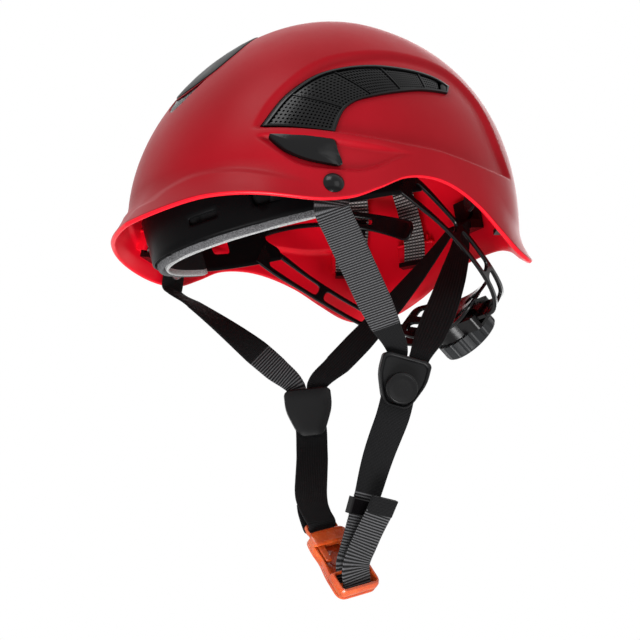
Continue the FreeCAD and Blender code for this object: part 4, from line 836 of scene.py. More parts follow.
def swept(name, path, leans, sections, materials, rows=None, sharp=40.0):
    """A closed solid: a section (across, through) carried along a path.

    UV x runs round the section and y along the path, both in millimetres.
    """
    count, round_count = sections.shape[:2]
    run = unit_rows(np.gradient(path, axis=0))
    across = unit_rows(leans - run * np.sum(leans * run, axis=1, keepdims=True))
    through = np.cross(run, across)
    verts = (path[:, None] + across[:, None] * sections[..., :1]
             + through[:, None] * sections[..., 1:])
    faces = tube_faces(count, round_count)
    index = None
    if rows is not None:
        index = np.repeat(rows[:-1], round_count).tolist() + [rows[0], rows[-1]]
    obj = new_object(name, verts.reshape(-1, 3), faces, materials, index, sharp)
    travel = along_path(path)
    girth = np.r_[0, np.cumsum(np.linalg.norm(np.diff(sections[0], axis=0), axis=1))]
    layer = obj.data.uv_layers.new(name="UVMap")
    where = np.empty(len(obj.data.loops), np.int32)
    obj.data.loops.foreach_get("vertex_index", where)
    uv = np.stack([girth[where % round_count], travel[where // round_count]], axis=1)
    layer.data.foreach_set("uv", uv.astype(np.float32).ravel())
    return obj


def strap_sections(widths, wall, s, rib=0.0, pitch=1.7, cells=11):
    """Rounded flat sections of a woven strap, with ribs across it."""
    half = wall / 2
    flat = np.linspace(-1, 1, cells)
    wave = rib * (np.abs(np.sin(math.pi * s / pitch)) - 0.5)
    rows = []
    for k in range(len(s)):
        w = widths[k] / 2 - half * 0.8
        h = half + wave[k]
        top = [(a * w, h * (1 - 0.10 * a * a)) for a in flat]
        edge = half * 0.8 + wave[k] * 0.7
        right = [(w + edge * math.cos(t), h * 0.9 * math.sin(t)) for t in (0.9, 0.0, -0.9)]
        under = [(-x, -y) for x, y in top]
        left = [(-x, -y) for x, y in right]
        rows.append(top + right + under + left)
    return np.array(rows)


DEEP_RIB = 0.17


def strap(name, table, wall, nodes, body="frame", rib=0.05, pitch=1.25, slot="chin_webbing",
          ribbed=None, materials=None, step=0.4, wave=0.0):
    """A strap along a route of (x, y, z, lean x, y, z, width)."""
    t = np.array(table, float)
    d = along_path(t[:, :3])
    count = int(d[-1] / step)
    s = np.linspace(0, d[-1], count)
    grid = [lookup(list(zip(d, t[:, k])), s) for k in range(3)]
    path = np.stack(grid, axis=1)
    leans = np.stack([np.interp(s, d, t[:, k]) for k in (3, 4, 5)], axis=1)
    if wave:  # a slight ripple that fades towards both ends
        ease = np.sin(math.pi * s / d[-1])
        path = path + unit_rows(leans) * (wave * ease * np.sin(s / 11.0))[:, None]
    widths = np.interp(s, d, t[:, 6])
    ribs = np.full(count, rib)
    rows = None
    if ribbed:
        inside = (s >= ribbed[0] * d[-1]) & (s < ribbed[1] * d[-1])
        ribs = np.where(inside, DEEP_RIB, rib)
        rows = np.where(inside, 0, 1)
    sections = strap_sections(widths, wall, s, ribs, pitch)
    obj = swept(name, path, leans, sections, materials or (PLAIN_WEB,), rows, 60.0)
    return put(obj, body, slot, *nodes)


PLAIN_WEB = webbing("chin_webbing_plain", srgb(9, 9, 10), srgb(36, 36, 37), 0.8, 1.1, 0.03)
# Its light grey is painted highlight on the rib crests of a black strap.
RIBBED_WEB_PAINTED_HIGHLIGHT = webbing("chin_webbing_ribbed_painted_highlight", srgb(8, 8, 9), srgb(104, 104, 106), 1.7, 0.9, 0.05)
CROWN_WEB = webbing("crown_webbing_mesh", srgb(16, 16, 17), srgb(178, 176, 174), 2.2, 2.2, 0.03)


# ------------------------------------------------------- places of the parts
DIVIDER = np.array([49.0, 24.7, -45.8])
DIVIDER_HALF, DIVIDER_WIDE = 15.5, 15.0
BUCKLE_HALF, BUCKLE_WIDE = 22.0, 14.5
BUCKLE_BAR = (14.5, 0, -1.8)
KNOB_DROP = math.radians(38)
KEY_SHARES = ((-0.68, -0.075), (0.64, 0.05), (0.905, 0.09))


def square_to(v, axis):
    """The part of a direction that is square to a unit axis."""
    return unit_rows(v - axis * (v @ axis))


def frame_at(origin, along, across):
    """A place: its origin, and rows that hold its X, Y and Z axes."""
    x = unit_rows(np.array(along, float))
    y = square_to(np.array(across, float), x)
    return np.array(origin, float), np.array([x, y, np.cross(x, y)])


def in_place(place, x, y, z):
    return place[0] + np.array([x, y, z], float) @ place[1]


def divider_place(side, facing, down):
    """Where a divider hangs: X down its length, Z out of its face."""
    facing = unit_rows(np.array(facing))
    down = square_to(np.array(down), facing)
    return frame_at(DIVIDER * [side, 1, 1], down, np.cross(facing, down))


def on_side(share_y, share_z):
    """A point on the left of the shell, and its normal."""
    hit = side_points(np.array([station(share_y)]), np.array([level(share_z)]))
    return hit[0], outward(hit)[0]


def key_place(share_y, share_z):
    """Where a suspension key sits on the shell's wall: X inwards, Z up."""
    hit, normal = on_side(share_y, share_z)
    return frame_at(hit - normal * WALL, -normal, (normal[1], -normal[0], 0))


ADJUSTER = frame_at((0, 104.0, 19.0), (-1, 0, 0), (0, math.sin(KNOB_DROP), math.cos(KNOB_DROP)))
LEFT_PLACE = divider_place(1, (0.88, -0.42, -0.20), (-0.32, -0.10, -0.94))
RIGHT_PLACE = divider_place(-1, (-0.84, 0.50, 0.12), (0.40, -0.12, -0.90))
BUCKLE_PLACE = frame_at((4.5, 13.0, -147.5), (0.51, 0.24, -0.82), (0, 0.95, 0.30))
KEYS = [key_place(*shares) for shares in KEY_SHARES]


# ------------------------------------------------------------- strap routes
STRAP_WIDTH, STRAP_WALL = 20.0, 1.6
CROWN_WIDTH, CROWN_WALL = 22.0, 1.4
STRAP_SHIFT = 7.0          # from a divider's middle to each of its upper straps
BOSS_DEPTH = WALL + 1.85   # from the shell's outer face in to a riveted strap
LOOP_REACH = 3.1           # from the middle of the buckle's bar to the strap
TURN_REACH = 3.22          # the same at the tongue's bar
SPLIT_SHARE = 0.46         # of the left lower run, where the strap meets its loop
FOLD_SHARE = 0.36          # of the same run, where the tail is folded
RIVET_SHARES = (-0.463, -0.098)
ANCHOR_SHARE = 0.27


def bezier_rows(points, count):
    t = np.linspace(0, 1, count)[:, None]
    level_rows = [np.repeat(np.array([p], float), count, axis=0) for p in points]
    while len(level_rows) > 1:
        level_rows = [a * (1 - t) + b * t for a, b in zip(level_rows, level_rows[1:])]
    return level_rows[0]


def turned(first, last, count):
    t = np.linspace(0, 1, count)[:, None]
    return first * (1 - t) + last * t


def route(points, leans, widths):
    """Rows of a strap: its middle line, the direction of its width, its width."""
    widths = np.broadcast_to(np.array(widths, float), len(points))
    return np.column_stack([points, unit_rows(np.array(leans, float)), widths])


def into_divider(start, lean, bow, place, shift, count):
    """Points and leans of an upper strap from its start to inside a divider."""
    mouth = in_place(place, -DIVIDER_HALF - 2, shift, 0)
    inside = in_place(place, -DIVIDER_HALF + 9, shift, 0)
    across = place[1][1] * np.sign(lean @ place[1][1])
    run = bezier_rows([start, (start + mouth) / 2 + bow, mouth], count)
    return np.vstack([run, inside]), np.vstack([turned(lean, across, count), across])


def front_route(side, place):
    """From the side rivet down to the divider."""
    hit, normal = on_side(*RIVET_SHARES)
    flip = np.array([side, 1, 1])
    seat = hit - normal * (BOSS_DEPTH + STRAP_WALL / 2)
    down = square_to(np.array([0, 0, -1.0]), normal)
    lean = np.cross(normal, down) * flip
    flat = [(seat + down * drop) * flip for drop in (-8, 7)]
    low = (seat + down * 13 - normal) * flip
    shift = -STRAP_SHIFT * np.sign(place[1][1][1])
    bow = np.array([-3.0 * side, 0, 4])
    points, leans = into_divider(low, lean, bow, place, shift, 7)
    return route(np.vstack([flat, points]), np.vstack([lean, lean, leans]),
                 [STRAP_WIDTH] * 7 + [17.5, 12.5, 12])


def rear_route(side, place):
    """From the nape anchor down to the divider, turning as it falls."""
    hit = dome_hit(np.array([0, 0, level(ANCHOR_SHARE)]), np.array([[0, 1.0, 0]]))
    normal = outward(hit)[0]
    down = square_to(np.array([0, 0, -1.0]), normal)
    anchor = frame_at(hit[0] - normal * BOSS_DEPTH, (1, 0, 0), down)
    start = in_place(anchor, side * 6.4, 11.0, -13.1)
    shift = STRAP_SHIFT * np.sign(place[1][1][1])
    bow = np.array([3.0 * side, 6, -4])
    points, leans = into_divider(start, np.array([1.0, 0, 0]), bow, place, shift, 8)
    return route(points, leans, [12, 15.5, 19, 20, 20, 20, 18, 12.5, 12])


def lower_right_route():
    """From the right divider down to the tongue's bar, round it and back."""
    run = [RIGHT_PLACE[0], (-49, 26.4, -57.5), (-46.6, 25.2, -68.5), (-42.4, 22.6, -77),
           (-37, 18.7, -85.6), (-30.4, 13.9, -94.4), (-23.6, 9.2, -102.6), (-17.4, 6, -109.8),
           (-11.8, 5, -116.6)]
    bar_x = -BUCKLE_HALF - 6.5
    ring = [in_place(BUCKLE_PLACE, bar_x + TURN_REACH * math.sin(a), 0, TURN_REACH * math.cos(a))
            for a in np.linspace(0, math.pi, 9)]
    back = [(-15.4, 5.6, -118.6), (-18.4, 6.6, -112.6)]
    across = BUCKLE_PLACE[1][1]
    leans = [*turned(-RIGHT_PLACE[1][1], across, len(run)), *[across] * 11]
    return route(np.vstack([run, ring, back]), leans, STRAP_WIDTH)


def left_lower_routes():
    """The left lower strap, its loop round the buckle's bar, and its tail."""
    mouth = in_place(LEFT_PLACE, DIVIDER_HALF + 3, 0, 0)
    bar, bar_across = in_place(BUCKLE_PLACE, *BUCKLE_BAR), BUCKLE_PLACE[1][1]
    bar_up = square_to(DIVIDER - bar, bar_across)
    bar_out = np.cross(bar_across, bar_up)
    bar_out *= np.sign(bar_out[0])
    foot = bar + bar_up * 12
    length = np.linalg.norm(mouth - foot)
    up = (mouth - foot) / length
    across = square_to(bar_across, up)
    out = np.cross(across, up)
    out *= np.sign(out[0])

    inner = foot - out * LOOP_REACH
    split = inner + up * (length * SPLIT_SHARE + 0.4)
    run = bezier_rows([mouth, split + up * length * 0.2, split], 5)
    run[-1] -= up * 1.25  # so that its end laps over the loop
    first = LEFT_PLACE[1][1]
    lower = route(np.vstack([DIVIDER, run]), np.vstack([first, turned(first, across, 5)]),
                  STRAP_WIDTH)

    top, low = split - up * 0.8, inner + up * 6
    ring = [bar - (bar_out * math.cos(a) + bar_up * math.sin(a)) * LOOP_REACH
            for a in np.linspace(0, math.pi, 11)]
    fold = [foot + up * length * FOLD_SHARE * t + out * (LOOP_REACH + 4.5 * t * t) + across * 3 * t
            for t in (0.45, 0.7, 1.0)]
    points = [top, (top + low) / 2, low, foot - bar_out * LOOP_REACH, *ring,
              foot + bar_out * LOOP_REACH, *fold]
    loop = route(points, [across] * 3 + [bar_across] * 13 + [across] * 3, STRAP_WIDTH)

    slope = unit_rows(up * length * 0.12 + out * 2.25)
    ends = [fold[-1] + slope * d for d in (-1.25, 4.9, 9.0)]
    return lower, loop, route(ends, [across] * 3, STRAP_WIDTH)


def key_end(number, side):
    """Low and high points of a crown strap at its key, and its direction there."""
    flip = np.array([side, 1, 1])
    low, high = (in_place(KEYS[number], 7.0, 0, height) * flip for height in (-0.9, 15.0))
    return low, high, KEYS[number][1][1] * flip


def dome_route(low, high, lean, far, layer, reach, count, rows):
    """Points and leans inside the dome from a key's strap end towards another's."""
    hub = np.array([0.0, 5, BROW_LEVEL - 10])
    s = np.linspace(0, reach, count)[:, None]
    rays = (high - hub) * (1 - s) + (far - hub) * s + [0, 0, 430] * s * (1 - s)
    hit = dome_hit(hub, unit_rows(rays))
    settle = np.minimum(1, 9 * s * (1 - s))
    points = hit - outward(hit) * (10.4 * (1 - settle) + (WALL + 16 + layer) * settle)
    across = unit_rows(np.cross(np.gradient(points, axis=0), points - hub))
    across *= np.where(across @ lean < 0, -1, 1)[:, None]
    share = np.minimum(1, np.arange(count) / 5)[:, None]
    leans = lean * (1 - share) + across * share
    return [low, high, *points[rows]], [lean, lean, *leans[rows]], across


def crown_route(first, last, layer):
    """A crown strap from one key over the head to the opposite one."""
    rows = [1, 2, 3, *range(4, 23, 2), 23]
    points, leans, across = dome_route(*first, last[1], layer, 1.0, 25, rows)
    end = last[2] * np.sign(last[2] @ across[-2])
    for k, row in enumerate(rows):
        share = max(0, (row - 19) / 5)
        leans[k + 2] = leans[k + 2] * (1 - share) + end * share
    return route([*points, last[1], last[0]], [*leans, end, end], CROWN_WIDTH)


def rear_crown_route():
    """A left rear crown strap, from its key to the crossing on top."""
    far = np.array([22, -FRONT_REACH / 2, level(0.7)])
    rows = [1, 2, *range(3, 14, 2), 14]
    points, leans, _ = dome_route(*key_end(2, 1), far, -CROWN_LAYER, 0.5, 15, rows)
    return route(points, leans, CROWN_WIDTH * 0.7)


def build_straps():
    pair = (RIBBED_WEB_PAINTED_HIGHLIGHT, PLAIN_WEB)
    strap("left_front_webbing", front_route(1, LEFT_PLACE), STRAP_WALL, ["left_front_strap"],
          pitch=1.7, ribbed=(0.0, 0.79), materials=pair)
    strap("right_front_webbing", front_route(-1, RIGHT_PLACE), STRAP_WALL,
          ["right_front_strap"], pitch=1.7, ribbed=(0.68, 0.96), materials=pair)
    strap("left_rear_webbing", rear_route(1, LEFT_PLACE), STRAP_WALL, ["left_rear_strap"])
    strap("right_rear_webbing", rear_route(-1, RIGHT_PLACE), STRAP_WALL, ["right_rear_strap"])
    strap("right_lower_webbing", lower_right_route(), STRAP_WALL, ["right_lower_strap"])
    run, loop, fold = left_lower_routes()
    lower = strap("left_lower_webbing", run, STRAP_WALL, ["left_lower_strap"], body=None,
                  wave=0.5)
    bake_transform(lower)
    strap("buckle_loop_webbing", loop, STRAP_WALL, ["strap_loop"], "buckle", DEEP_RIB, 1.7,
          materials=(RIBBED_WEB_PAINTED_HIGHLIGHT,), step=0.35)
    strap("tail_fold_webbing", fold, 2 * STRAP_WALL, ["strap_tail"], "buckle", 0.12, 1.7,
          step=0.3)


# ------------------------------------------------------- flat moulded pieces
def rounded(points, radius, steps=5):
    """A closed outline with its corners rounded."""
    p = [np.array(q, float) for q in points]
    out = []
    for i, corner in enumerate(p):
        before, after = p[i - 1] - corner, p[(i + 1) % len(p)] - corner
        r = radius[i] if isinstance(radius, (list, tuple)) else radius
        reach = min(r, 0.45 * np.linalg.norm(before), 0.45 * np.linalg.norm(after))
        a = corner + before / np.linalg.norm(before) * reach
        b = corner + after / np.linalg.norm(after) * reach
        for k in range(steps + 1):
            t = k / steps
            out.append(a * (1 - t) ** 2 + corner * 2 * t * (1 - t) + b * t * t)
    return np.array(out)


def box_outline(low_x, high_x, low_y, high_y, radius):
    corners = [(low_x, low_y), (high_x, low_y), (high_x, high_y), (low_x, high_y)]
    return rounded(corners, radius)


def densified(outline, spacing):
    out = []
    for a, b in zip(outline, np.roll(outline, -1, axis=0)):
        parts = max(1, int(np.linalg.norm(b - a) / spacing))
        out.extend(a + (b - a) * k / parts for k in range(parts))
    return np.array(out)


def area_of(loop):
    x, y = loop[:, 0], loop[:, 1]
    return 0.5 * np.sum(x * np.roll(y, -1) - np.roll(x, -1) * y)


def inset_loop(loop, amount):
    """A loop moved to its left by an amount."""
    run = unit_rows(np.roll(loop, -1, axis=0) - np.roll(loop, 1, axis=0))
    return loop + np.stack([-run[:, 1], run[:, 0]], axis=1) * amount


def sheet_solid(outline, holes, bend, low, high, soft=0.5, spacing=3.0):
    """Vertices and faces of a flat outline with holes, bent and given a wall.

    bend takes flat places (n, 2) and depths (n,) and gives points in space.
    """
    loops = []
    for i, loop in enumerate([outline] + list(holes)):
        loop = densified(np.asarray(loop, float), spacing)
        if (area_of(loop) < 0) != (i > 0):
            loop = loop[::-1]
        loops.append(loop)
    inner = [inset_loop(loop, soft) for loop in loops]
    coords, edges = [], []
    for loop in inner:
        base = len(coords)
        coords.extend(Vector(q) for q in loop)
        edges.extend((base + k, base + (k + 1) % len(loop)) for k in range(len(loop)))
    low_q, high_q = outline.min(axis=0), outline.max(axis=0)
    gx, gy = np.meshgrid(np.arange(low_q[0], high_q[0], spacing),
                         np.arange(low_q[1], high_q[1], spacing), indexing="ij")
    q = np.stack([gx.ravel(), gy.ravel()], axis=1)
    keep = inside_of(inner[0], q) & (distance_to(closed(inner[0]), q) > spacing * 0.4)
    for loop in inner[1:]:
        keep &= ~inside_of(loop, q) & (distance_to(closed(loop), q) > spacing * 0.4)
    coords.extend(Vector(c) for c in q[keep])
    found = delaunay_2d_cdt(coords, edges, [], 1, 1e-4)
    flat = np.array([tuple(v) for v in found[0]])
    middles = np.array([flat[list(f)].mean(axis=0) for f in found[2]])
    solid = np.ones(len(middles), bool)
    for loop in inner[1:]:
        solid &= ~inside_of(loop, middles)
    triangles = [tuple(f) for f, s in zip(found[2], solid) if s]
    count = len(flat)
    verts = [bend(flat, np.full(count, high)), bend(flat, np.full(count, low))]
    faces = triangles + [tuple(count + k for k in f[::-1]) for f in triangles]
    total, start = 2 * count, 0
    step = (high - low) * 0.28
    for loop in loops:
        n = len(loop)
        verts += [bend(loop, np.full(n, high - step)), bend(loop, np.full(n, low + step))]
        for k in range(n):
            m = (k + 1) % n
            a, b = start + k, start + m
            c, d = total + k, total + m
            faces += [(b, a, c, d), (d, c, n + c, n + d), (n + d, n + c, count + a, count + b)]
        total += 2 * n
        start += n
    return np.vstack(verts), faces


def closed(loop):
    return np.vstack([loop, loop[:1]])


def made(name, parts, materials, body, slot, *nodes, sharp=50.0):
    """One piece from several closed solids."""
    verts, faces, total = [], [], 0
    for v, f in parts:
        verts.append(v)
        faces.extend(tuple(total + k for k in face) for face in f)
        total += len(v)
    obj = faced_outwards(new_object(name, np.vstack(verts), faces, materials, None, sharp))
    return put(obj, body, slot, *nodes)


def flat_in(place):
    """A bend that lays a piece in a frame's XY plane, depth along Z."""
    origin, axes = place

    def bend(q, depth):
        return origin + q[:, :1] * axes[0] + q[:, 1:2] * axes[1] + depth[:, None] * axes[2]
    return bend


def curved(centre, up):
    """A bend along a path in space: x along it, y along up, depth outwards."""
    d = along_path(centre)

    def at(s, table):
        return np.stack([np.interp(s, d, table[:, k]) for k in range(3)], axis=1)

    run = unit_rows(np.gradient(centre, axis=0))
    square = unit_rows(up - run * np.sum(up * run, axis=1, keepdims=True))
    out = np.cross(run, square)

    def bend(q, depth):
        s = q[:, 0]
        extra = (np.minimum(s, 0) + np.maximum(s - d[-1], 0))[:, None]
        return (at(s, centre) + extra * at(s, run) + at(s, square) * q[:, 1:2]
                + at(s, out) * depth[:, None])
    return bend, d[-1]


# ---------------------------------------------------------------- headband
BAND_WIDTH, BAND_FRONT, BAND_REAR = 158.0, 107.0, 98.0
BAND_DEPTH, BAND_WALL, BAND_TILT, BAND_LEVEL = 32.0, 1.8, 0.34, 57.0
BAND_UP = unit_rows(np.array([0.0, -BAND_TILT, 1.0]))
BAND_END, BAND_STEPS = 103, 207
ARM_STEPS, REAR_ARM_STEPS = 61, 81
REAR_ARM_BEND = (30, 74)   # steps where the rear arm starts and stops following its rack


def band_points(degrees, inset=0.0, rise=0.0):
    angle = np.radians(degrees)
    reach = np.where(np.abs(degrees) <= 90, BAND_FRONT, BAND_REAR)
    x = (BAND_WIDTH / 2 - inset) * np.sin(angle)
    y = -(reach - inset) * np.cos(angle)
    p = np.stack([x, y, BAND_LEVEL + BAND_TILT * y], axis=1)
    return p + BAND_UP * np.asarray(rise)[..., None] if np.ndim(rise) else p + BAND_UP * rise


def build_headband():
    turn = np.linspace(-BAND_END, BAND_END, BAND_STEPS)
    bend, length = curved(band_points(turn), np.repeat(BAND_UP[None], len(turn), axis=0))
    middle = length / 2
    mark = along_path(band_points(turn))

    def at(degrees):
        return float(np.interp(degrees, turn, mark)) - middle

    half = []
    for degrees, y in ((0, 1.5), (30, 1.2), (60, 0.4), (85, 0.0), (102, 0.2)):
        half.append((at(degrees), y))
    top = []
    for degrees, y in ((102, 31.8), (80, 32.0), (50, 31.0), (25, 29.0), (0, 28.0)):
        top.append((at(degrees), y))
    right = np.vstack([spline(half, 40), spline([(at(102), .2), (at(102.4), 7), (at(98), 16.4),
                                                 (at(102.4), 25), (at(102), 31.8)], 20)[1:],
                       spline(top, 40)[1:]])
    outline = np.vstack([right, (right * [-1, 1])[-2:0:-1]]) + [middle, 0]
    holes = []
    for degrees, wide in ((48, 16), (78, 15)):
        for side in (-1, 1):
            c = at(degrees) * side + middle
            holes.append(rounded([(c - wide / 2, 10.2), (c + wide / 2, 11), (c + wide / 2, 21),
                                  (c - wide / 2, 21.5)], 3.0))
    for side in (-1, 1):
        c = at(24) * side + middle
        holes.append(box_outline(c - 9, c + 9, 11, 15, 1.9))
    shape = sheet_solid(outline, holes, bend, -BAND_WALL / 2, BAND_WALL / 2, 0.45, 3.0)
    # The headband takes the shaded copy of the harness black.
    made("headband_moulding", [shape], (BAND_PAINTED_SHADE,), "frame", "harness_black", "headband")


def tapered_slot(low, high, first, last, middle=0.0):
    """A long window whose height changes from its first end to its last."""
    return rounded([(low, middle - first / 2), (high, middle - last / 2),
                    (high, middle + last / 2), (low, middle + first / 2)],
                   min(first, last) * 0.48, 6)


def build_upper_arms():
    start = band_points(np.array([96.0]), 0, BAND_DEPTH - 7.5)[0]
    wide = BAND_WIDTH / 2
    points = [start, (wide * 1.04, BAND_REAR * 0.46, start[2] + 24),
              (wide * 0.80, BAND_REAR * 0.94, start[2] + 18),
              (wide * 0.36, BAND_REAR * 0.96, BAND_LEVEL + 27)]
    centre = bezier_rows(points, ARM_STEPS)
    up = turned(BAND_UP, np.array([0, 0, 1.0]), ARM_STEPS)
    for side, word in ((1, "left"), (-1, "right")):
        flip = np.array([side, 1, 1])
        bend, length = curved(centre * flip, up * flip)
        top = spline([(-2, 7.4), (length * 0.2, 7.2), (length * 0.6, 6.0), (length * 0.8, 6.4),
                      (length - 7, 7.3)], 40)
        tip = [(length - 3, 6.5), (length - 0.4, 3.4), (length, 0)]
        half = np.vstack([top, tip])
        outline = np.vstack([half, (half * [1, -1])[-2::-1]])
        holes = [tapered_slot(length * 0.13, length * 0.43, 8.6, 6.4),
                 tapered_slot(length * 0.52, length * 0.72, 4.2, 3.4)]
        shape = sheet_solid(outline, holes, bend, -BAND_WALL / 2, BAND_WALL / 2, 0.45, 3.0)
        made(word + "_upper_arm_moulding", [shape], (GLOSS,), "frame", "harness_black",
             word + "_upper_arm")


RACK_THICKNESS, RACK_REACH = 2.4, 37.0
LAYERS = {1: 1.9, -1: 4.6}


def build_rear_arms():
    for side, word in ((1, "left"), (-1, "right")):
        layer = LAYERS[side] + RACK_THICKNESS / 2
        reach = RACK_REACH + 0.5
        end = in_place(ADJUSTER, -reach * side, 0, layer)
        run_in = in_place(ADJUSTER, -(reach + 14) * side, 0, layer)
        start = band_points(np.array([95.0 * side]), 0, 17 / 2 - 1.2)[0]
        wide = BAND_WIDTH / 2
        points = [start, (wide * side, BAND_REAR * 0.46, start[2] - 18),
                  (wide * 0.84 * side, BAND_REAR * 0.90, 24.0), run_in, end]
        centre = bezier_rows(points, REAR_ARM_STEPS)
        up = turned(BAND_UP, ADJUSTER[1][1], REAR_ARM_STEPS)
        bend, length = curved(centre, up)
        top = spline([(-2, 8.4), (length * 0.12, 8.2), (length * 0.3, 6.6), (length * 0.7, 6.3),
                      (length * 0.9, 7.6), (length, 8.3)], 60)
        outline = np.vstack([top, (top * [1, -1])[::-1]])
        holes = [tapered_slot(length * 0.06, length * 0.37, 9.6, 7.4),
                 tapered_slot(length * 0.41, length * 0.66, 7.2, 7.0),
                 tapered_slot(length * 0.70, length * 0.90, 6.8, 8.0)]
        wall = RACK_THICKNESS / 2
        shape = sheet_solid(outline, holes, bend, -wall, wall, 0.5, 3.0)
        piece = made(word + "_rear_arm_moulding", [shape], (GLOSS,), None, "harness_black",
                     word + "_rear_arm")
        fixed, moving = (tuple(centre[step] * MM) for step in REAR_ARM_BEND)
        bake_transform(piece)
        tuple(fixed)
        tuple(moving)


# ------------------------------------------------------- pads and crown bands
PAD_STEPS, PAD_RING = 181, 28
PAD_WALL, LINING_WALL, PAD_GAP = 4.5, 1.6, 0.3
PAD_RISE = 16.0
SWELL_FRAMES, SWELL_LIMIT = 20, 0.5
BROAD_SHARE = 0.74         # of a pad's height that its facing cloth covers


def speckled(name, dark, light, scale):
    """Open foam under a felted facing: fine speckle with a soft sheen."""
    p = Paint(name)
    cells = p.node("ShaderNodeTexVoronoi")
    cells.inputs["Scale"].default_value = scale
    p.link(p.where, cells.inputs["Vector"])
    fine = p.noise(scale * 0.8, 4.0, 0.7)
    tone = p.math("ADD", p.math("MULTIPLY", cells.outputs["Distance"], 0.7), fine)
    colour = p.mixed(p.spread(tone, 0.0, 1.0, 0.45, 1.15), dark, light)
    return p.finish(colour, 0.9, p.bump(tone, 0.0003), Sheen_Weight=0.02, Sheen_Roughness=0.6,
                    Specular_IOR_Level=0.08)


def cushion_sections(count, height, wall, drop, channels=()):
    """Crowned sections of a foam strip, thinner along its sewn channels."""
    rows = []
    for k in range(count):
        end = min(1.0, min(k, count - 1 - k) / 5.0 + 0.35)
        dip = 0.0
        for c in channels:
            dip = max(dip, math.exp(-((k - c * count) / 1.6) ** 2))
        ring = []
        for a in np.linspace(0, 2 * math.pi, PAD_RING, endpoint=False):
            c, s = math.cos(a), math.sin(a)
            x = math.copysign(abs(c) ** 0.32, c) * height / 2 * (0.9 + 0.1 * end)
            y = math.copysign(abs(s) ** 0.62, s) * wall / 2 * end * (1 - 0.55 * dip)
            ring.append((x - drop, y))
        rows.append(ring)
    return np.array(rows)


def edge_only(obj, sections, share):
    """Give the broad faces of a strip its second material, and its edges the first."""
    ring = sections[len(sections) // 2][:, 0]
    middle, half = (ring.max() + ring.min()) / 2, (ring.max() - ring.min()) / 2
    across = np.abs(ring + np.roll(ring, -1) - 2 * middle) / 2 / half
    broad = (across < share).astype(np.int32)
    count = len(obj.data.polygons)
    index = np.zeros(count, np.int32)
    rows = (count - 2) // len(ring)
    index[:rows * len(ring)] = np.tile(broad, rows)
    obj.data.polygons.foreach_set("material_index", index)


def build_pads():
    cloth_mat = speckled("pad_cloth_black", srgb(7, 7, 8), srgb(20, 20, 21), 1600.0)
    foam_mat = speckled("brow_foam_grey", srgb(34, 34, 36), srgb(112, 112, 114), 1500.0)
    lining_mat = speckled("pad_lining_grey", srgb(112, 112, 113), srgb(196, 196, 196), 1800.0)
    turn = np.linspace(-66, 66, PAD_STEPS)
    inset = BAND_WALL / 2 + PAD_WALL / 2 + PAD_GAP
    path = band_points(turn, inset, PAD_RISE)
    up = np.repeat(BAND_UP[None], len(turn), axis=0)
    channels = (0.18, 0.34, 0.5, 0.66, 0.82)
    sections = cushion_sections(len(turn), 31.0, 4.4, 3.6, channels)
    foam = swept("brow_pad_foam", path, up, sections, (foam_mat, cloth_mat), None, 60.0)
    edge_only(foam, sections, BROAD_SHARE)
    put(foam, "frame", "brow_foam", "brow_pad")
    soften(foam)
    turn = np.linspace(-64, 64, PAD_STEPS)
    inset += PAD_WALL / 2 + LINING_WALL / 2 + PAD_GAP
    path = band_points(turn, inset, PAD_RISE)
    sections = cushion_sections(len(turn), 30.0, 2.6, 4.6)
    lining = swept("brow_pad_facing", path, up, sections, (lining_mat, cloth_mat), None, 60.0)
    edge_only(lining, sections, BROAD_SHARE)
    put(lining, "frame", "pad_lining", "brow_pad_lining")


def soften(obj):
    """Let the foam swell a little under pressure, held near its shape."""
    start = np.empty(len(obj.data.vertices) * 3)
    obj.data.vertices.foreach_get("co", start)
    start = start.reshape(-1, 3)
    cloth = obj.modifiers.new("cloth", "CLOTH")
    cloth.settings.use_pressure = True
    cloth.settings.uniform_pressure_force = 4.0
    cloth.settings.effector_weights.gravity = 0.0
    cloth.settings.quality = 5
    cloth.settings.mass = 0.15
    cloth.collision_settings.use_collision = False
    cloth.point_cache.frame_start = 1
    cloth.point_cache.frame_end = SWELL_FRAMES
    scene = bpy.context.scene
    for number in range(1, SWELL_FRAMES + 1):
        scene.frame_set(number)
    graph = bpy.context.evaluated_depsgraph_get()
    mesh = bpy.data.meshes.new_from_object(obj.evaluated_get(graph))
    moved = np.empty(len(mesh.vertices) * 3)
    mesh.vertices.foreach_get("co", moved)
    moved = moved.reshape(-1, 3)
    obj.modifiers.clear()
    scene.frame_set(1)
    shift = moved - start
    size = np.linalg.norm(shift, axis=1, keepdims=True)
    shift *= np.minimum(1.0, SWELL_LIMIT * MM / np.maximum(size, 1e-9))
    obj.data.vertices.foreach_set("co", (start + shift).ravel())
    obj.data.update()
    bpy.data.meshes.remove(mesh)


CROWN_LAYER = 3.3          # from one crown strap in to the one that crosses under it


def build_crown():
    routes = [
        ("crown_webbing_a", "crown_strap_left", crown_route(key_end(0, 1), key_end(1, -1), 0)),
        ("crown_webbing_b", "crown_strap_right",
         crown_route(key_end(0, -1), key_end(1, 1), CROWN_LAYER))]
    for side, word in ((1, "left"), (-1, "right")):
        rear = rear_crown_route() * [side, 1, 1, side, 1, 1, 1]
        routes.append(("rear_crown_webbing_" + word, "rear_crown_strap_" + word, rear))
    for name, node, rows in routes:
        strap(name, rows, CROWN_WALL, [node], rib=0.08, pitch=2.2, slot="crown_webbing",
              materials=(CROWN_WEB,), step=0.55)


# ------------------------------------------------------ pockets in the shell
POCKET_HALF, POCKET_LIP, POCKET_DEEP = 13.5, 2.3, 11.5
POCKET_LOW, POCKET_HIGH = -1.8, 6.0
FACE_MARGIN = 1.4          # kept between a pocket and the shell's outer face


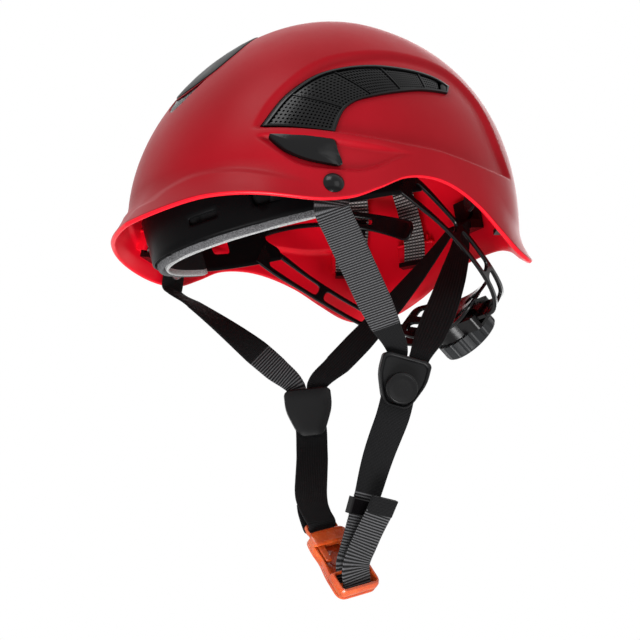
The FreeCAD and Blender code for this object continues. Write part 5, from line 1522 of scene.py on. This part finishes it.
def build_pockets():
    """Moulded pockets with webs inside the shell, in the shell's red."""
    half = POCKET_HALF
    outline = box_outline(POCKET_LOW, POCKET_HIGH, -half, half, [0.5, 2.0, 2.0, 0.5])
    inner = half - POCKET_LIP
    hollow = box_outline(2.1, 4.9, -inner, inner, 0.5)
    parts = []
    for origin, axes in KEYS:
        for side in (1, -1):
            flip = np.array([side, 1, 1])
            flat = flat_in((origin * flip, axes * flip))
            parts.append(sheet_solid(outline, [hollow], flat, 0.0, POCKET_DEEP, 0.5, 4.0))
            parts.append(sheet_solid(outline, [], flat, 11.0, 13.0, 0.5, 4.0))
            for y in (-8.5, 8.5):
                web = box_outline(1.2, 4.4, y - 0.9, y + 0.9, 0.5)
                parts.append(sheet_solid(web, [], flat, 12.5, 18.0, 0.3, 4.0))
    return [(under_face(points), faces) for points, faces in parts]


def under_face(points):
    """The points, pulled in where they would show through the outer face."""
    middle = np.array([0.0, 0.0, 50.0])
    rays = points - middle
    reach = np.linalg.norm(rays, axis=1, keepdims=True)
    rays = rays / reach
    face = dome_hit(middle, rays)
    depth = relief(face) + FACE_MARGIN
    limit = np.linalg.norm(face - middle, axis=1, keepdims=True) - depth[:, None] * 1.1
    return middle + rays * np.minimum(reach, limit)


# ------------------------------------------------------------------ dividers
CAP_AT, CAP_RADIUS, CAP_STEPS = 4.0, 9.4, 48
# Rings of a divider and of its button: (share of the outline, height).
SHIELD_RINGS = [(0.0, -4.5), (0.5, -4.5), (0.93, -4.4), (0.985, -3.9), (1.0, -2.8), (1.0, 2.9),
                (0.985, 3.9), (0.95, 4.4), (0.90, 4.3), (0.865, 3.7), (0.84, 2.75), (0.6, 2.6),
                (0.3, 2.55), (0.0, 2.55)]
CAP_RINGS = [(0.02, 4.35), (0.9, 4.35), (0.98, 4.6), (1.0, 5.2), (1.0, 8.0), (0.985, 8.8),
             (0.94, 9.3), (0.88, 9.42), (0.83, 9.3), (0.79, 9.12), (0.5, 9.3), (0.25, 9.38),
             (0.02, 9.4)]


def shield_outline():
    half, wide = DIVIDER_HALF, DIVIDER_WIDE
    side = [(-half, wide - 3), (-half + 2, wide), (-half + 13, wide), (half - 5, wide - 5.2),
            (half, wide - 8.6)]
    mirrored = [(x, -y) for x, y in side]
    return rounded(mirrored + side[::-1], [4, 4, 7, 5, 5, 5, 5, 7, 4, 4], 6)


def stacked(outline, centre, rings, place):
    """A closed solid of rings that are shares of one outline."""
    flat = flat_in(place)
    rows = [flat(centre + (outline - centre) * max(share, 0.02), np.full(len(outline), height))
            for share, height in rings]
    return np.vstack(rows), tube_faces(len(rows), len(outline))


def build_dividers():
    outline = densified(shield_outline(), 1.2)
    edge = circle(CAP_AT, 0.0, CAP_RADIUS, CAP_STEPS)
    for place, word in ((LEFT_PLACE, "left"), (RIGHT_PLACE, "right")):
        shield = stacked(outline, np.array([2.0, 0.0]), SHIELD_RINGS, place)
        made(word + "_divider_moulding", [shield], (SATIN,), "frame", "harness_black",
             word + "_divider")
        cap = stacked(edge, np.array([CAP_AT, 0.0]), CAP_RINGS, place)
        made(word + "_divider_cap", [cap], (SATIN,), word + "_button", "button_black",
             word + "_divider_button")


# -------------------------------------------------------------------- buckle
BAR_STEPS, BAR_ROWS = 20, 7


def orange_plastic():
    p = Paint("buckle_orange_clear")
    drift = p.spread(p.noise(60.0, 3.0), 0.0, 1.0, 0.3, 0.7)
    colour = p.mixed(drift, srgb(182, 66, 22), srgb(208, 90, 36))
    worn = p.spread(p.noise(160.0, 4.0), 0.2, 0.34, 0.3, 0.7)
    orange = p.finish(colour, worn, p.bump(p.noise(900.0), 0.00003), Subsurface_Weight=0.35,
                      Subsurface_Scale=0.004, Coat_Weight=0.25)
    p.shader.inputs["Subsurface Radius"].default_value = (1, 0.35, 0.1)
    return orange


def build_buckle(orange):
    """The open tray with its bar, and the tongue's plate that sits in it."""
    flat = flat_in(BUCKLE_PLACE)
    half, wide = BUCKLE_HALF, BUCKLE_WIDE
    outline = rounded([(-half, -12.6), (-13, -13.8), (-4, -12.9), (5, -wide), (half, -wide),
                       (half, wide), (5, wide), (-4, 12.9), (-13, 13.8), (-half, 12.6)],
                      [5, 8, 9, 6, 6, 6, 6, 9, 8, 5], 7)
    strap_gap = box_outline(8.5, 18.7, -11.9, 11.9, 1.5)
    window = rounded(circle(-4, 0, 5.75, 28), 0.3, 1)
    mouth = 11.25
    parts = [sheet_solid(outline, [strap_gap, window], flat, -4.5, -2.5, 0.7, 2.5)]
    for sign in (-1, 1):
        rail = rounded([(-half + 1.5, sign * (mouth + 0.1)), (half - 1.5, sign * (mouth + 0.7)),
                        (half - 1.5, sign * (wide - 0.6)), (6, sign * (wide - 0.4)),
                        (-4, sign * 12.7), (-13, sign * 13.5), (-half + 1.5, sign * 12.5)], 0.7)
        parts.append(sheet_solid(rail, [], flat, -2.9, 1.2, 0.3, 2.5))
        cheek = rounded([(-half + 1.2, sign * (mouth + 0.1)), (-13.5, sign * (mouth + 0.1)),
                         (-13.5, sign * 13.4), (-half + 1.2, sign * 12.5)], 0.6)
        parts.append(sheet_solid(cheek, [], flat, 0.8, 2.9, 0.3, 2.5))
    bridge = rounded([(-half, -12.6), (-12.5, -13.7), (-12.5, 13.7), (-half, 12.6)],
                     [5, 1.5, 1.5, 5], 6)
    parts.append(sheet_solid(bridge, [], flat, 2.2, 4.5, 0.9, 2.5))
    collar = rounded([(6.2, -wide), (half, -wide), (half, wide), (6.2, wide)], [2, 5, 5, 2], 6)
    parts.append(sheet_solid(collar, [strap_gap], flat, -2.9, 3.6, 0.9, 2.5))
    ring = circle(BUCKLE_BAR[0], BUCKLE_BAR[2], 2, BAR_STEPS)
    bar = [np.insert(ring, 1, y, axis=1) for y in np.linspace(-12.3, 12.3, BAR_ROWS)]
    parts.append((BUCKLE_PLACE[0] + np.vstack(bar) @ BUCKLE_PLACE[1],
                  tube_faces(BAR_ROWS, BAR_STEPS)))
    made("buckle_tray", parts, (orange,), "buckle", "buckle_orange", "buckle_body")
    tongue = rounded([(-29.8, -10.8), (-14, -10.8), (-3.2, -10.8), (-2.2, -9), (-2.2, -6.2),
                      (-12.8, -6.0), (-12.8, 6.0), (-2.2, 6.2), (-2.2, 9), (-3.2, 10.8),
                      (-14, 10.8), (-29.8, 10.8)], [2.6, 1, 1, 1, 1, 2, 2, 1, 1, 1, 1, 2.6])
    slot = box_outline(-26.8, -23.6, -10.2, 10.2, 0.8)
    made("tongue_plate", [sheet_solid(tongue, [slot], flat, -1.45, 1.45, 0.5, 2.5)], (orange,),
         "frame", "buckle_orange", "buckle_tongue")


# --------------------------------------------------------------- nape cradle
CRADLE_RADIUS, CRADLE_HALF_TURN, CRADLE_STEPS = 85.0, 27, 61
CRADLE_HALF_WALL = 1.1


def build_cradle():
    angle = np.radians(np.linspace(-CRADLE_HALF_TURN, CRADLE_HALF_TURN, CRADLE_STEPS))
    x = CRADLE_RADIUS * np.sin(angle)
    z = -CRADLE_RADIUS * (1 - np.cos(angle)) - CRADLE_HALF_WALL
    centre = ADJUSTER[0] + x[:, None] * ADJUSTER[1][0] + z[:, None] * ADJUSTER[1][2]
    bend, length = curved(centre, np.repeat(ADJUSTER[1][1][None], CRADLE_STEPS, axis=0))
    middle = length / 2
    outline = rounded([(0, -12), (14, -18), (middle, -16.6), (length - 14, -18), (length, -12),
                       (length, 12), (length - 14, 18), (middle, 17.2), (14, 18), (0, 12)],
                      [6, 12, 20, 12, 6, 6, 12, 20, 12, 6], 7)
    holes = []
    for c in (middle - 24, middle + 24):
        for low, high in ((-11, -3.2), (3.2, 11)):
            holes.append(box_outline(c - 10, c + 10, low, high, 2.8))
    holes.append(circle(middle, 0, 3.1, 20))
    wall = CRADLE_HALF_WALL
    shape = sheet_solid(outline, holes, bend, -wall, wall, 0.5, 3.0)
    made("nape_cradle_moulding", [shape], (GLOSS,), "frame", "harness_black", "nape_cradle")


# ------------------------------------------------- the CAD's own visible nodes
def dress_cad_nodes(orange):
    steel = moulded("bright_steel", srgb(176, 176, 178), srgb(196, 196, 198), 0.28, Metallic=1.0)
    looks = {"trim_black": BLACK, "harness_black": GLOSS, "button_black": SATIN,
             "knob_grey": GRIP, "gear_grey": GEAR, "rivet_black": BLACK,
             "bright_steel": steel, "buckle_orange": orange}
    slots = {s["node"]: s["material_slot"] for s in frame["record"]["subparts"]}
    for node, obj in frame["nodes"].items():
        look = looks.get(slots[node])
        if look and not obj.hide_render:
            obj.data.materials.clear()
            obj.data.materials.append(look)


build_shell()
for side, word in ((1, "left"), (-1, "right")):
    build_grille(side, word + "_grille_moulding", word + "_vent_grille")
    build_plate(side, word + "_plate_moulding", word + "_side_plate")
build_badge()
build_scoop()
build_straps()
build_headband()
build_upper_arms()
build_rear_arms()
build_pads()
build_crown()
made("shell_pockets", build_pockets(), (RED_INSIDE_PAINTED_LIGHT,), "frame", "shell_red")
build_dividers()
clear_orange = orange_plastic()
build_buckle(clear_orange)
build_cradle()
dress_cad_nodes(clear_orange)
build_stage()
